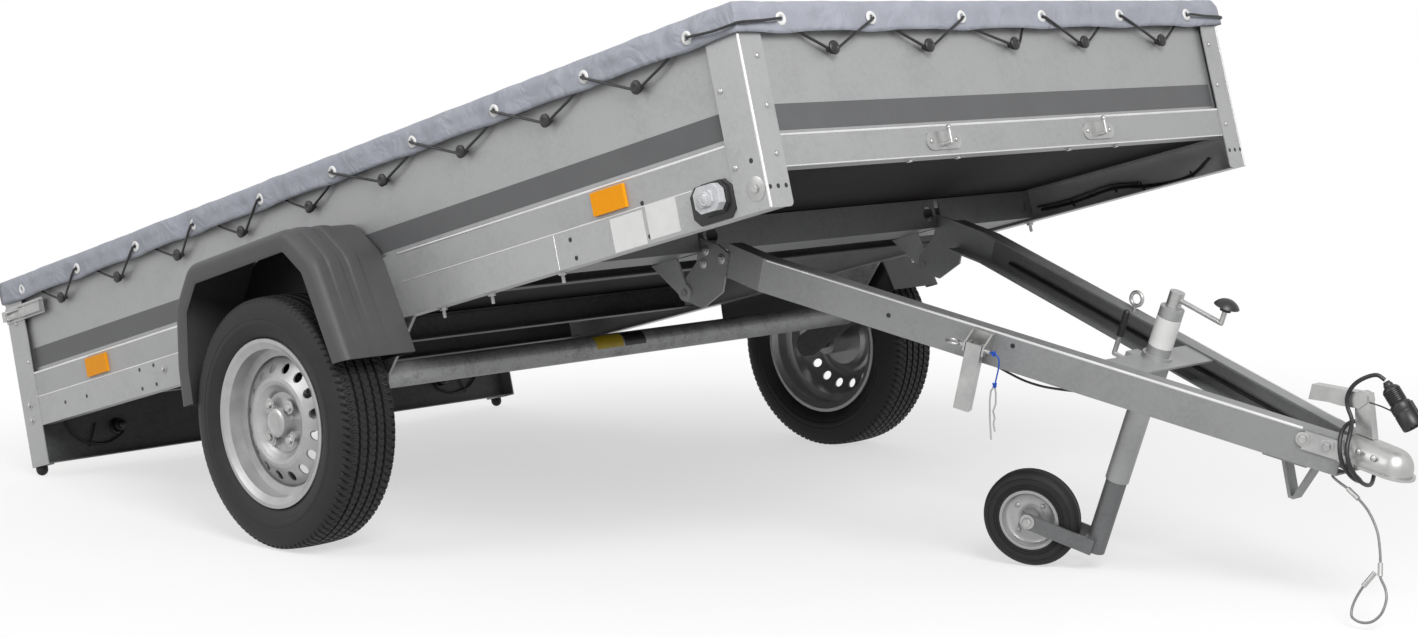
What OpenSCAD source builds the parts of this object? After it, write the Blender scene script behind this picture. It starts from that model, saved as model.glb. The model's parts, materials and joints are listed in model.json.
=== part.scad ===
/* [Stance] */
// Nose-up pitch of the tipped bed, degrees
bed_pitch = 14; // [12:0.1:16]
// Nose-down pitch of the drawbar on its jockey wheel, degrees
drawbar_pitch = 15.2; // [12:0.1:17]
// Swivel of the jockey wheel from straight behind its tube, degrees
swivel_deg = 21; // [0:1:25]

/* [Bed] */
// Length of the bed over its corner posts
bed_len = 2705; // [2400:1:3000]
// Width of the bed over its corner posts
bed_w = 1556; // [1440:1:1570]
// Distance from the axle line forward to the front posts
front_reach = 1408; // [1250:1:1560]
// Height of the floor's underside above the wheel centres
floor_z = 234; // [226:1:260]
// Height of the walls above the floor's underside
wall_h = 306; // [260:1:420]
// Height of the lower band of the walls, which stands proud
band_h = 62; // [45:1:80]
// Depth of the frame rails below the floor
rail_h = 73; // [60:1:80]
// Thickness of the wall sheets
sheet_t = 2; // [1.5:0.5:3]
// Thickness of the plywood floor
floor_t = 12; // [9:1:15]
// Step from the lower band in to the upper wall
band_step = 10; // [6:1:14]
// Width of the folded rim along the wall tops
rim_w = 30; // [20:1:40]
// Width of a front corner post on the side
post_side_w = 84; // [60:1:110]
// Width of a front corner post on the front
post_front_w = 61; // [45:1:80]

/* [Running gear] */
// Outside radius of the road tyres
tyre_r = 273.5; // [262:0.5:285]
// Section width of the road tyres
tyre_w = 152; // [140:1:165]
// Distance between the two wheels' middle planes
track = 1760; // [1745:1:1790]
// Radius of the rim's flanges
rim_r = 183; // [178:1:190]
// Width of the rim between its flanges
rim_inner_w = 114; // [104:1:120]
// Axle tube's forward offset from the wheel centres
axle_x = 163; // [140:1:185]
// Axle tube's height over the wheel centres
axle_z = 55; // [45:1:65]
// Radius of the axle tube
axle_r = 28; // [24:1:32]
// Top of the mudguards above the wheel centres
guard_top = 386; // [370:1:410]
// Reach of the mudguards along the bed from the wheel centres
guard_reach = 318; // [312:1:330]
// Wall thickness of the mudguards
guard_t = 4; // [3:0.5:6]

/* [Drawbar] */
// Tilt hinge's distance ahead of the wheel centres
hinge_x = 759; // [754:1:764]
// Tilt hinge's height over the wheel centres
hinge_z = 95; // [92:1:97]
// Length of the drawbar to the beams' front ends
beam_len = 1306; // [1260:1:1400]
// Height of the beams' top faces above the drawbar's base line
beam_top = 131; // [127:1:132]
// Height of the beam channels
beam_h = 70; // [66:1:78]
// Width of the beam channels' flanges
beam_flange = 38; // [32:1:44]
// Sheet thickness of the beams
beam_t = 4; // [3:0.5:5]
// Half distance over the beams at the hinge
beam_rear_half = 384; // [374:1:394]
// Radius of the coupling's ball socket
socket_r = 25.2; // [25.1:0.1:25.6]

/* [Jack] */
// Outside radius of the jack's outer tube
jack_r = 24; // [22:1:26]
// Radius of the jockey wheel
jockey_r = 100; // [92:1:108]
// Width of the jockey wheel
jockey_w = 48; // [42:1:54]
// Wheel centre's offset behind the tube
jockey_trail = 140; // [136:1:150]
// Forward lean of the jack's tube against the drawbar, degrees
jack_lean = 5.5; // [3:0.5:7]

/* [Hidden] */
$fn = 48;

// Overrun of every cut past the face that it opens
cut = 5;
// Clearance between seated pieces that do not touch
seat = 0.3;
// Running clearance of a pin in its bore
run_gap = 0.1;
// Room round a piece that swings
swing_gap = 6;

// Bed frame: x forward and z up from the wheel centres
bed_rear = front_reach - bed_len;
bed_half = bed_w / 2;
wall_top = floor_z + wall_h;
rail_bottom = floor_z - rail_h;
band_top = floor_z + band_h;
post_t = 2.5;
post_corner_r = 10;
lower_half = bed_half - post_t;
upper_half = lower_half - band_step;
rim_lip = 16;
rail_t = 2.5;
rail_flange = 40;
floor_top = floor_z + sheet_t + floor_t;
front_lower = front_reach - post_t;
front_upper = front_lower - band_step;
rear_post_w = 81;
jamb_w = 40;
foot_t = 3;

// Tail buffers, which touch the ground when the bed is tipped
buffer_r = 15;
buffer_neck = 8;
buffer_x = bed_rear + buffer_r;
buffer_y = bed_half - post_t - buffer_r;
tail_z = (buffer_r - tyre_r - buffer_x * sin(bed_pitch)) / cos(bed_pitch) + buffer_neck;

// Tailgate
gate_half = bed_half - jamb_w - swing_gap;
gate_t = 30;
gate_axis_in = 13;
gate_axis_x = bed_rear + gate_axis_in;
gate_axis_up = 6;
gate_axis_z = floor_z + gate_axis_up;
gate_pin_r = 6;
knuckle_r = 10;
knuckle_half = 20;
gate_bottom = gate_axis_z + knuckle_r + gate_axis_up;
lug_t = 8;
gate_hinge_y = 480;
floor_gap = 8;
floor_rear = bed_rear + gate_t + floor_gap;
gate_top = wall_top - swing_gap;

// Light bar across the tail, open to the front
bar_setback = 36;
bar_x = bed_rear + bar_setback;
bar_flange = 34;
bar_t = 2.5;
bar_top = gate_axis_z - knuckle_r - swing_gap;
bar_half = bed_half - post_t;
lamp_w = 220;
lamp_h = 96;
lamp_y = 590;

// Cover laced over the bed
cover_t = 4;
skirt_h = 57;
cover_z = wall_top + seat;
cover_half = bed_half + seat + cover_t;
cover_front = front_reach + seat + cover_t;
cover_rear = bed_rear - seat - cover_t;

// Cross frames under the floor
beam_web_t = 3;
crossbeam_h = 66;
crossbeam_d = 128;
crossbeam_x = 702;
cable_hole_r = 17;
member_h = 60;
member_d = 40;

// Road wheels
hub_y = track / 2;
rim_flange_t = 8;
rim_lip_w = 8;
rim_bed_r = 164;
rim_well_r = 146;
rim_sheet = 4;
well_half = 22;
disc_out = 26;
hub_cap_r = 32;
hub_cap_h = 22;
vent_ring_r = 118;
vent_r = 11;
vents = 16;
pcd = 100;
stud_r = 10;
stud_h = 12;
studs = 4;
spindle_r = 15;
spindle_in = 45;
arm_t = 18;
arm_r = 30;
tyre_shoulder_r = 24;
bead_gap = 0.3;

// Mudguard outline as shares of its reach and top height
guard_shares = [[-0.94, 0.22], [-0.92, 0.44], [-0.81, 0.79], [-0.58, 0.99], [0.6, 1], [0.83, 0.8], [1, 0.24]];
guard_out = 182;
guard_lip = 42;
guard_round = 14;

// Drawbar frame: x forward along the beams, set ahead of the tilt hinge's pin and above it
bar_ahead = 50;
bar_up = 5;
bend_x = 140;
beam_rear_x = 40;
beam_front_half = 43;
beam_angle = atan((beam_rear_half - beam_front_half) / (beam_len - bend_x));
beam_bottom = beam_top - beam_h;
beam_skew_len = (beam_len - bend_x) / cos(beam_angle);
hinge_pin_r = 8;
plate_t = 5;
arm_plate_t = 5;
ball_ahead = 84;
ball_x = beam_len + ball_ahead;
head_r = 37;
lip_out = 6;
lip_t = 5;
skirt_up = 13;
coupling_lift = 31;
socket_depth = 34;
socket_mouth_z = beam_bottom + coupling_lift;
head_mid_z = socket_mouth_z + skirt_up;
head_top_z = head_mid_z + head_r;

// Row frame: origin on the ground under the middle of the standing box
rear_extreme = cover_rear * cos(bed_pitch) - (cover_z + cover_t) * sin(bed_pitch);
hinge_lead = hinge_x * cos(bed_pitch) - hinge_z * sin(bed_pitch);
hinge_height = hinge_x * sin(bed_pitch) + hinge_z * cos(bed_pitch) + tyre_r;
bar_lead = hinge_lead + bar_ahead * cos(drawbar_pitch) + bar_up * sin(drawbar_pitch);
bar_height = hinge_height - bar_ahead * sin(drawbar_pitch) + bar_up * cos(drawbar_pitch);
front_extreme = bar_lead + ball_x * cos(drawbar_pitch) + max(head_r + head_mid_z * sin(drawbar_pitch),
    (head_r + lip_out) * cos(drawbar_pitch) + (socket_mouth_z + lip_t) * sin(drawbar_pitch));
centre_x = (rear_extreme + front_extreme) / 2;

// Jack: origin where its tube crosses the beams' top, z up along the tube
jack_x = 854;
jack_wall = 2.5;
jack_low = -272;
jack_high = 104;
leg_r = jack_r - jack_wall - seat;
leg_wall = 3;
leg_lean = drawbar_pitch + jack_lean;
jockey_shoulder = 10;
camber = asin(sin(leg_lean) * sin(swivel_deg));
jockey_height = (jockey_r - jockey_shoulder) * cos(camber)
    + (jockey_w / 2 - jockey_shoulder) * sin(camber) + jockey_shoulder;
jack_height = bar_height - jack_x * sin(drawbar_pitch) + beam_top * cos(drawbar_pitch);
leg_drop = (jack_height + jockey_trail * sin(leg_lean) * cos(swivel_deg) - jockey_height) / cos(leg_lean);
fork_h = 32;
fork_t = 5;
leg_foot = 16;
leg_setback = 150;
leg_top = jack_high - leg_setback;
nut_h = 24;

// Moves from the frames of the bed, drawbar, jack and leg into the row frame
module bed() translate([-centre_x, 0, tyre_r]) rotate([0, -bed_pitch, 0]) children();
module drawbar() translate([bar_lead - centre_x, 0, bar_height]) rotate([0, drawbar_pitch, 0]) children();
module jack() drawbar() translate([jack_x, 0, beam_top]) rotate([0, jack_lean, 0]) children();
module leg() jack() translate([0, 0, -leg_drop]) rotate([0, 0, swivel_deg]) children();

// A copy on each side of the middle plane
module both() {
    children();
    mirror([0, 1, 0]) children();
}

// A box from its low corner to its high corner
module span(low, high) translate(low) cube(high - low);

// Extrudes a y-z outline along x, an x-z outline along y
module along_x(length) rotate([90, 0, 90]) linear_extrude(length) children();
module along_y(length) rotate([90, 0, 0]) linear_extrude(length, center = true) children();
module rod_y(r, length) rotate([90, 0, 0]) cylinder(r = r, h = length, center = true);
module rod_x(r, length) rotate([0, 90, 0]) cylinder(r = r, h = length);

// Sections of the folded wall sheets, outer face at x = 0 of the lower band, inside towards -x
module wall_section(bottom, top) {
    translate([-sheet_t, bottom]) square([sheet_t, band_top - bottom]);
    translate([-band_step - sheet_t, band_top - sheet_t]) square([band_step + sheet_t, sheet_t]);
    translate([-band_step - sheet_t, band_top - sheet_t]) square([sheet_t, top - band_top + sheet_t]);
    translate([-band_step - rim_w, top - sheet_t]) square([rim_w, sheet_t]);
    translate([-band_step - rim_w, top - rim_lip]) square([sheet_t, rim_lip]);
}

module floor_flange(bottom) translate([-rail_flange, bottom]) square([rail_flange, sheet_t]);

module floor_panel() color("peru") bed()
    span([floor_rear, -upper_half + sheet_t + seat, floor_z + sheet_t],
         [front_upper - sheet_t - seat, upper_half - sheet_t - seat, floor_top]);

module side_panel() translate([bed_rear + rear_post_w / 2, lower_half, 0])
    along_x(front_upper - rim_w - seat - bed_rear - rear_post_w / 2) {
        wall_section(floor_z, wall_top);
        floor_flange(floor_z);
    }
module side_panel_left() color("silver") bed() side_panel();
module side_panel_right() color("silver") bed() mirror([0, 1, 0]) side_panel();

module front_panel() color("silver") bed()
    translate([front_lower, upper_half, 0]) rotate([90, 0, 0])
        linear_extrude(2 * upper_half) {
            wall_section(floor_z, wall_top);
            floor_flange(floor_z);
        }

// Front corner posts: folded angles with round lower corners
module front_post() {
    span([front_reach - post_t, bed_half - post_front_w, rail_bottom + post_corner_r],
         [front_reach, bed_half, wall_top]);
    span([front_reach - post_t, bed_half - post_front_w + post_corner_r, rail_bottom],
         [front_reach, bed_half, wall_top]);
    translate([front_reach - post_t, bed_half - post_front_w + post_corner_r, rail_bottom + post_corner_r])
        rod_x(post_corner_r, post_t);
    span([front_reach - post_side_w, bed_half - post_t, rail_bottom], [front_reach, bed_half, wall_top]);
}
module front_posts() color("gainsboro") bed() both() front_post();

// Rear corner posts with a jamb for the tailgate and a foot for the buffer
module rear_post() {
    span([bed_rear, bed_half - post_t, tail_z], [bed_rear + rear_post_w, bed_half, wall_top]);
    span([bed_rear, bed_half - jamb_w, tail_z], [bed_rear + post_t, bed_half, wall_top]);
    span([bed_rear, bed_half - jamb_w, tail_z], [bed_rear + jamb_w, bed_half, tail_z + foot_t]);
}
module rear_posts() color("gainsboro") bed() both() rear_post();

module rail_section() {
    translate([-rail_t, rail_bottom]) square([rail_t, rail_h]);
    translate([-rail_flange, rail_bottom]) square([rail_flange, rail_t]);
    translate([-rail_flange, floor_z - rail_t]) square([rail_flange, rail_t]);
}
rail_rear = bar_x + bar_flange + seat;
module side_rails() color("silver") bed() both()
    translate([rail_rear, lower_half, 0]) along_x(front_lower - rail_rear) rail_section();

// Front crossbeam: a channel with cable holes, which carries the tilt hinge
hole_shares = [-0.95, -0.48, 0.48, 0.95];
module crossbeam_section() {
    translate([crossbeam_d - beam_web_t, 0]) square([beam_web_t, crossbeam_h]);
    square([crossbeam_d, beam_web_t]);
    translate([0, crossbeam_h - beam_web_t]) square([crossbeam_d, beam_web_t]);
}
cross_half = lower_half - rail_flange - seat;
crossbeam_front = crossbeam_x + crossbeam_d;
slot_len = 74;
module front_crossbeam() color("silver") bed() difference() {
    translate([crossbeam_x, 0, floor_z - crossbeam_h]) along_y(2 * cross_half) crossbeam_section();
    both() span([crossbeam_front - slot_len, hinge_y - plate_t - swing_gap, floor_z - crossbeam_h - cut],
        [crossbeam_front + cut, hinge_y + swing_gap, floor_z - beam_web_t]);
    for (s = hole_shares)
        translate([crossbeam_x, s * cross_half, floor_z - crossbeam_h / 2])
            rod_x(cable_hole_r, crossbeam_d + cut);
}

// Channels under the floor, at shares of the reach before and behind the axle
member_shares = [0.33, -0.28, -0.62];
module member_section() {
    translate([0, -member_h]) square([beam_web_t, member_h]);
    translate([0, -beam_web_t]) square([member_d, beam_web_t]);
    translate([0, -member_h]) square([member_d, beam_web_t]);
}
module crossmembers() color("gray") bed()
    for (s = member_shares)
        translate([s * front_reach, 0, floor_z]) along_y(2 * cross_half) member_section();

// Light bar between the rear posts
module light_bar() color("dimgray") bed() {
    translate([bar_x, 0, tail_z + foot_t]) along_y(2 * bar_half) {
        square([bar_t, bar_top - tail_z - foot_t]);
        square([bar_flange, bar_t]);
        translate([0, bar_top - tail_z - foot_t - bar_t]) square([bar_flange, bar_t]);
    }
}

// Axle tube on its two brackets under the rails
bracket_t = 8;
bracket_lead = 150;
bracket_tail = 90;
bracket_in = 20;
module axle_beam() color("darkgray") bed() {
    translate([axle_x, 0, axle_z]) rod_y(axle_r, 2 * (lower_half - bracket_in));
    both() translate([axle_x, lower_half - bracket_in - bracket_t / 2, 0]) along_y(bracket_t) polygon([
        [-bracket_tail, rail_bottom], [-axle_r, axle_z], [axle_r, axle_z], [bracket_lead, rail_bottom]]);
}

// Trailing arms with the wheel spindles
arm_len = norm([axle_x, axle_z]);
arm_dip = atan2(axle_z, axle_x);
module arm_outline() {
    circle(arm_r);
    translate([axle_x, axle_z]) circle(arm_r);
    rotate(arm_dip) translate([0, -arm_r]) square([arm_len, 2 * arm_r]);
}
arm_y = lower_half - bracket_in + seat;
module trailing_arms() color("gray") bed() both() {
    translate([0, arm_y + arm_t / 2, 0]) along_y(arm_t) arm_outline();
    translate([0, arm_y + arm_t / 2, 0]) rotate([-90, 0, 0]) cylinder(r = spindle_r, h = hub_y - arm_y);
}

// Mudguards: open-bottomed shells with a lip round the outer edge
guard_foot = guard_shares[0][1] * guard_top;
guard_ends = [guard_shares[len(guard_shares) - 1][0] * guard_reach, guard_shares[0][0] * guard_reach];
module guard_outline() offset(guard_round) offset(-guard_round) polygon(concat(
    [for (s = guard_shares) [s[0] * guard_reach, s[1] * guard_top]],
    [for (x = guard_ends) [x, -guard_top]]));
module guard_arch(outer, inner) difference() {
    offset(-outer) guard_outline();
    offset(-inner) guard_outline();
    translate([-2 * guard_reach, guard_foot - 2 * guard_top]) square([4 * guard_reach, 2 * guard_top]);
}
// Steps of the rounded outer edge, as shares of its radius; columns: inset and distance from the outer face
guard_edge_r = 16;
guard_step_shares = [[0, 1], [0.0625, 0.625], [0.1875, 0.375], [0.375, 0.1875], [0.6875, 0]];
guard_steps = guard_edge_r * guard_step_shares;
// Ribs over the top and down the front; their distances from the wall
rib_ys = [62, 112];
rib_w = 34;
rib_h = 3;
rib_low_share = 0.55;
module guard() translate([0, lower_half, 0]) rotate([90, 0, 0]) mirror([0, 0, 1]) {
    linear_extrude(guard_out - guard_steps[0][1]) guard_arch(0, guard_t);
    for (i = [1:len(guard_steps) - 1])
        translate([0, 0, guard_out - guard_steps[i - 1][1]]) linear_extrude(guard_steps[i - 1][1] - guard_steps[i][1])
            guard_arch(guard_steps[i][0], guard_steps[i][0] + 2 * guard_t);
    translate([0, 0, guard_out - guard_t]) linear_extrude(guard_t)
        guard_arch(guard_steps[len(guard_steps) - 1][0], guard_lip);
    for (y = rib_ys) translate([0, 0, y]) linear_extrude(rib_w) intersection() {
        guard_arch(-rib_h, guard_t / 2);
        translate([0, rib_low_share * guard_top]) square(2 * guard_reach);
    }
}
module mudguard_left() color("dimgray") bed() guard();
module mudguard_right() color("dimgray") bed() mirror([0, 1, 0]) guard();

// Tapered arms that carry the tilt hinge under the crossbeam
hinge_y = beam_rear_half + plate_t + seat;
arm_eye_r = 18;
arm_root_z = floor_z - crossbeam_h - hinge_z;
arm_root_back = 83;
arm_root_front = 4;
arm_nose = 12;
module hinge_arms() color("lightgray") bed() both()
    difference() {
        translate([hinge_x, hinge_y + arm_plate_t / 2, hinge_z]) along_y(arm_plate_t) {
            circle(arm_eye_r);
            polygon([[-arm_root_back, arm_root_z], [-arm_eye_r, 0], [arm_nose, 0], [-arm_root_front, arm_root_z]]);
        }
        translate([hinge_x, hinge_y, hinge_z]) rod_y(hinge_pin_r + run_gap, 2 * (plate_t + arm_plate_t));
    }

// Front marker lamps: an eight-sided base, a lens with slanted corners and its raised middle
marker_back = 135;
marker_z = 208;
marker_len = 76;
marker_h = 60;
marker_base_t = 8;
marker_lens_t = 26;
marker_t = 31;
// Columns: share of the base's size and reach from the rail
marker_steps = [[1, marker_base_t], [0.84, marker_lens_t], [0.48, marker_t]];
marker_corner_share = 0.24;
module octagon(w, h, c) polygon([[-w / 2 + c, -h / 2], [w / 2 - c, -h / 2], [w / 2, -h / 2 + c], [w / 2, h / 2 - c],
    [w / 2 - c, h / 2], [-w / 2 + c, h / 2], [-w / 2, h / 2 - c], [-w / 2, -h / 2 + c]]);
module marker_lamps() color("whitesmoke") bed() both()
    translate([front_reach - marker_back, lower_half, marker_z]) for (m = marker_steps)
        rotate([90, 0, 0]) mirror([0, 0, 1]) linear_extrude(m[1])
            octagon(m[0] * marker_len, m[0] * marker_h, marker_corner_share * m[0] * marker_h);

// Amber reflectors along the lower band
reflector_w = 94;
reflector_h = 46;
reflector_t = 7;
// Distances back from the front posts
reflector_backs = [414, 2319];
module side_reflectors() color("orange") bed() both()
    for (back = reflector_backs)
        translate([front_reach - back - reflector_w / 2, lower_half, (floor_z + band_top) / 2 - reflector_h / 2])
            cube([reflector_w, reflector_t, reflector_h]);

// Lamp clusters on the light bar
lamp_t = 30;
module rear_lamps() color("firebrick") bed() both()
    span([bar_x - lamp_t, lamp_y - lamp_w / 2, tail_z + foot_t + swing_gap],
         [bar_x, lamp_y + lamp_w / 2, tail_z + foot_t + swing_gap + lamp_h]);

// Rubber buffers under the rear posts
module tail_buffers() color("black") bed() both() translate([buffer_x, buffer_y, tail_z - buffer_neck]) {
    cylinder(r = buffer_r, h = buffer_neck);
    difference() {
        sphere(buffer_r);
        translate([-buffer_r, -buffer_r, 0]) cube(2 * buffer_r);
    }
}

// Lacing hooks: a flanged knob on a stem, along the sides and the front
hook_z = 454;
hook_back = 279;
hook_pitch = 268.5;
side_hooks = 9;
hook_xs = [for (i = [0:side_hooks - 1]) front_reach - hook_back - i * hook_pitch];
front_hook_ys = [-527, -246, 27, 266, 549];
hook_stem_r = 5;
hook_knob_r = 10;
hook_reach = 20;
hook_knob_t = 7;
module hook() {
    cylinder(r = hook_stem_r, h = hook_reach);
    translate([0, 0, hook_reach - hook_knob_t]) cylinder(r = hook_knob_r, h = hook_knob_t);
}
module lacing_hooks() color("black") bed() {
    both() for (x = hook_xs) translate([x, upper_half, hook_z]) rotate([-90, 0, 0]) hook();
    for (y = front_hook_ys) translate([front_upper, y, hook_z]) rotate([0, 90, 0]) hook();
}

// Rope hooks on the front wall: a plate with rounded ends and a bent-up hook
rope_y = 256;
rope_z = 264;
rope_plate_w = 106;
rope_plate_h = 36;
rope_plate_t = 3;
rope_rod_r = 4.5;
rope_reach = 20;
rope_rise = 30;
rope_drop = 8;
rope_ball_r = 6;
module rope_hooks() color("gainsboro") bed() both() translate([front_lower, rope_y, rope_z]) {
    translate([0, (rope_plate_h - rope_plate_w) / 2, -rope_plate_h / 2])
        cube([rope_plate_t, rope_plate_w - rope_plate_h, rope_plate_h]);
    for (s = [-1, 1]) translate([0, s * (rope_plate_w - rope_plate_h) / 2, 0]) rod_x(rope_plate_h / 2, rope_plate_t);
    translate([0, 0, -rope_drop]) {
        rod_x(rope_rod_r, rope_reach);
        translate([rope_reach, 0, 0]) {
            sphere(rope_rod_r);
            cylinder(r = rope_rod_r, h = rope_rise);
            translate([0, 0, rope_rise]) sphere(rope_ball_r);
        }
    }
}

// Over-centre latches on the rear posts: a base plate, a folded lever, its draw loop and the catch
latch_z = 454;
latch_len = 186;
latch_h = 40;
latch_base_t = 3;
latch_t = 14;
catch_len = 16;
catch_h = 26;
loop_half = 9;
loop_rod_r = 3;
loop_len = 84;
draw_len = 112;
draw_h = 28;
draw_wall = 2;
module latches() color("gainsboro") bed() both() translate([bed_rear + seat, bed_half, latch_z]) {
    translate([0, 0, -latch_h / 2]) cube([latch_len, latch_base_t, latch_h]);
    translate([0, 0, -catch_h / 2]) cube([catch_len, latch_t, catch_h]);
    for (s = [-1, 1]) translate([catch_len / 2, latch_t - 2 * loop_rod_r, s * loop_half]) rod_x(loop_rod_r, loop_len);
    translate([latch_len - draw_len, 0, -draw_h / 2]) difference() {
        cube([draw_len, latch_t, draw_h]);
        translate([-cut, latch_t - draw_wall - loop_rod_r, draw_wall])
            cube([draw_len - draw_wall + cut, loop_rod_r + draw_wall + cut, draw_h - 2 * draw_wall]);
    }
}

// Hinge lugs on the light bar with the tailgate's pins
module gate_lugs() color("gray") bed() both() translate([gate_axis_x, gate_hinge_y, gate_axis_z]) {
    for (s = [-1, 1]) translate([0, s * (knuckle_half + seat + lug_t / 2), 0]) {
        rod_y(knuckle_r, lug_t);
        translate([0, -lug_t / 2, bar_top - gate_axis_z])
            cube([bar_x + bar_flange - gate_axis_x, lug_t, floor_z - bar_top]);
    }
    rod_y(gate_pin_r, 2 * (knuckle_half + seat));
}

// Cover: a laced sheet with skirts over the sides and front, and a flap over the tailgate
module cover() color("slategray") bed() difference() {
    span([bed_rear - seat, -cover_half, wall_top - skirt_h], [cover_front, cover_half, cover_z + cover_t]);
    span([bed_rear - seat - cut, -bed_half - seat, wall_top - skirt_h - cut],
         [front_reach + seat, bed_half + seat, cover_z]);
}
module cover_rear_flap() color("slategray") bed()
    span([cover_rear, -cover_half, wall_top - skirt_h], [bed_rear - seat, cover_half, cover_z + cover_t]);

// Tailgate with folded rims and hinge knuckles
module tailgate() color("silver") bed() {
    span([bed_rear, -gate_half, gate_bottom], [bed_rear + sheet_t, gate_half, gate_top]);
    for (z = [gate_bottom, gate_top - sheet_t])
        span([bed_rear, -gate_half, z], [bed_rear + gate_t, gate_half, z + sheet_t]);
    both() span([bed_rear, gate_half - sheet_t, gate_bottom], [bed_rear + gate_t, gate_half, gate_top]);
    both() translate([gate_axis_x, gate_hinge_y, gate_axis_z]) difference() {
        union() {
            rod_y(knuckle_r, 2 * knuckle_half);
            translate([-knuckle_r, -knuckle_half, 0])
                cube([2 * knuckle_r, 2 * knuckle_half, gate_bottom - gate_axis_z + sheet_t]);
        }
        rod_y(gate_pin_r + run_gap, 2 * knuckle_half + cut);
    }
}
gate_hook_shares = [-0.8, -0.4, 0, 0.4, 0.8];
module gate_hooks() color("black") bed()
    for (s = gate_hook_shares) translate([bed_rear, s * gate_half, hook_z]) rotate([0, -90, 0]) hook();

// Road tyre as a turned ring, axis along z, middle plane at z = 0
tyre_bead_r = rim_bed_r + bead_gap;
bead_half = rim_inner_w / 2 - bead_gap;
tread_half = tyre_w / 2 - 2 * tyre_shoulder_r / 3;
module tyre_section() polygon(concat(
    [[tyre_bead_r, -bead_half], [tyre_bead_r, bead_half], [rim_r, bead_half]],
    [[(rim_r + tyre_r) / 2, tyre_w / 2]],
    [[tyre_r - tyre_shoulder_r, tyre_w / 2 - tyre_shoulder_r / 3]],
    [[tyre_r, tread_half], [tyre_r, -tread_half]],
    [[tyre_r - tyre_shoulder_r, -tyre_w / 2 + tyre_shoulder_r / 3]],
    [[(rim_r + tyre_r) / 2, -tyre_w / 2], [rim_r, -bead_half]]));
module tyre() rotate([-90, 0, 0]) rotate_extrude($fn = 96) tyre_section();

// Steel rim: a turned well with rolled flanges, a dished disc with vents, studs and a cap, outside towards +z
module rim_section() {
    h = rim_inner_w / 2;
    inner = rim_bed_r - rim_sheet;
    polygon([
        [inner, -h], [rim_bed_r + rim_sheet, -h - rim_sheet],
        [rim_r - rim_lip_w, -h - rim_flange_t], [rim_r, -h - rim_flange_t],
        [rim_r, -h], [rim_bed_r, -h], [rim_bed_r, -well_half],
        [rim_well_r, -well_half + rim_sheet], [rim_well_r, well_half - rim_sheet], [rim_bed_r, well_half],
        [rim_bed_r, h], [rim_r, h], [rim_r, h + rim_flange_t], [rim_r - rim_lip_w, h + rim_flange_t],
        [rim_bed_r + rim_sheet, h + rim_sheet], [inner, h], [inner, well_half + rim_sheet],
        [rim_well_r - rim_sheet, well_half], [rim_well_r - rim_sheet, -well_half], [inner, -well_half - rim_sheet]]);
}
// Outer face of the disc beyond its hub; columns: radius and height over the hub's face
disc_shape = [[64, 0], [74, 8], [82, 16], [90, 19], [98, 17], [110, 10], [124, 2], [136, -6],
    [rim_well_r - rim_sheet / 2, -14]];
module disc_section() {
    face = concat([[spindle_r + run_gap, 0]], disc_shape);
    polygon(concat([for (q = face) [q[0], disc_out + q[1]]],
        [for (i = [len(face) - 1:-1:0]) [face[i][0], disc_out + face[i][1] - rim_sheet]]));
}
module rim() rotate([-90, 0, 0]) {
    difference() {
        rotate_extrude($fn = 96) {
            rim_section();
            disc_section();
        }
        for (i = [0:vents - 1]) rotate(i * 360 / vents)
            translate([vent_ring_r, 0, 0]) cylinder(r = vent_r, h = rim_inner_w);
    }
    difference() {
        translate([0, 0, -spindle_in]) cylinder(r = hub_cap_r, h = spindle_in + disc_out);
        translate([0, 0, -spindle_in - cut]) cylinder(r = spindle_r + run_gap, h = spindle_in + disc_out + cut);
    }
    translate([0, 0, disc_out]) cylinder(r = hub_cap_r, h = hub_cap_h);
    for (i = [0:studs - 1]) rotate((2 * i + 1) * 180 / studs)
        translate([pcd / 2, 0, disc_out - rim_sheet / 2]) cylinder(r = stud_r, h = stud_h + rim_sheet / 2);
}
module wheel_left() bed() translate([0, hub_y, 0]) children();
module wheel_right() bed() mirror([0, 1, 0]) translate([0, hub_y, 0]) children();
module tyre_left() color("black") wheel_left() tyre();
module rim_left() color("silver") wheel_left() rim();
module tyre_right() color("black") wheel_right() tyre();
module rim_right() color("silver") wheel_right() rim();

// Drawbar beams: channels open inwards, bent towards the coupling, drawn in plan
beam_outer = [[beam_rear_x, beam_rear_half], [bend_x, beam_rear_half], [beam_len, beam_front_half]];
function beam_inner(depth) = [[bend_x - depth * tan(beam_angle / 2), beam_rear_half - depth],
    [beam_rear_x, beam_rear_half - depth]];
function front_inner(depth) = beam_front_half - depth / cos(beam_angle);
flange_meet_x = beam_len - (seat / 2 - front_inner(beam_flange)) / tan(beam_angle);
module web_plan() polygon(concat(beam_outer, [[beam_len, front_inner(beam_t)]], beam_inner(beam_t)));
flange_tip = front_inner(beam_flange) > seat / 2 ? [[beam_len, front_inner(beam_flange)]]
    : [[beam_len, seat / 2], [flange_meet_x, seat / 2]];
module flange_plan() polygon(concat(beam_outer, flange_tip, beam_inner(beam_flange)));
module beam() {
    translate([0, 0, beam_bottom]) linear_extrude(beam_h) web_plan();
    for (z = [beam_bottom, beam_top - beam_t]) translate([0, 0, z]) linear_extrude(beam_t) flange_plan();
}
module beam_left() color("silver") drawbar() beam();
module beam_right() color("silver") drawbar() mirror([0, 1, 0]) beam();

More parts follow.
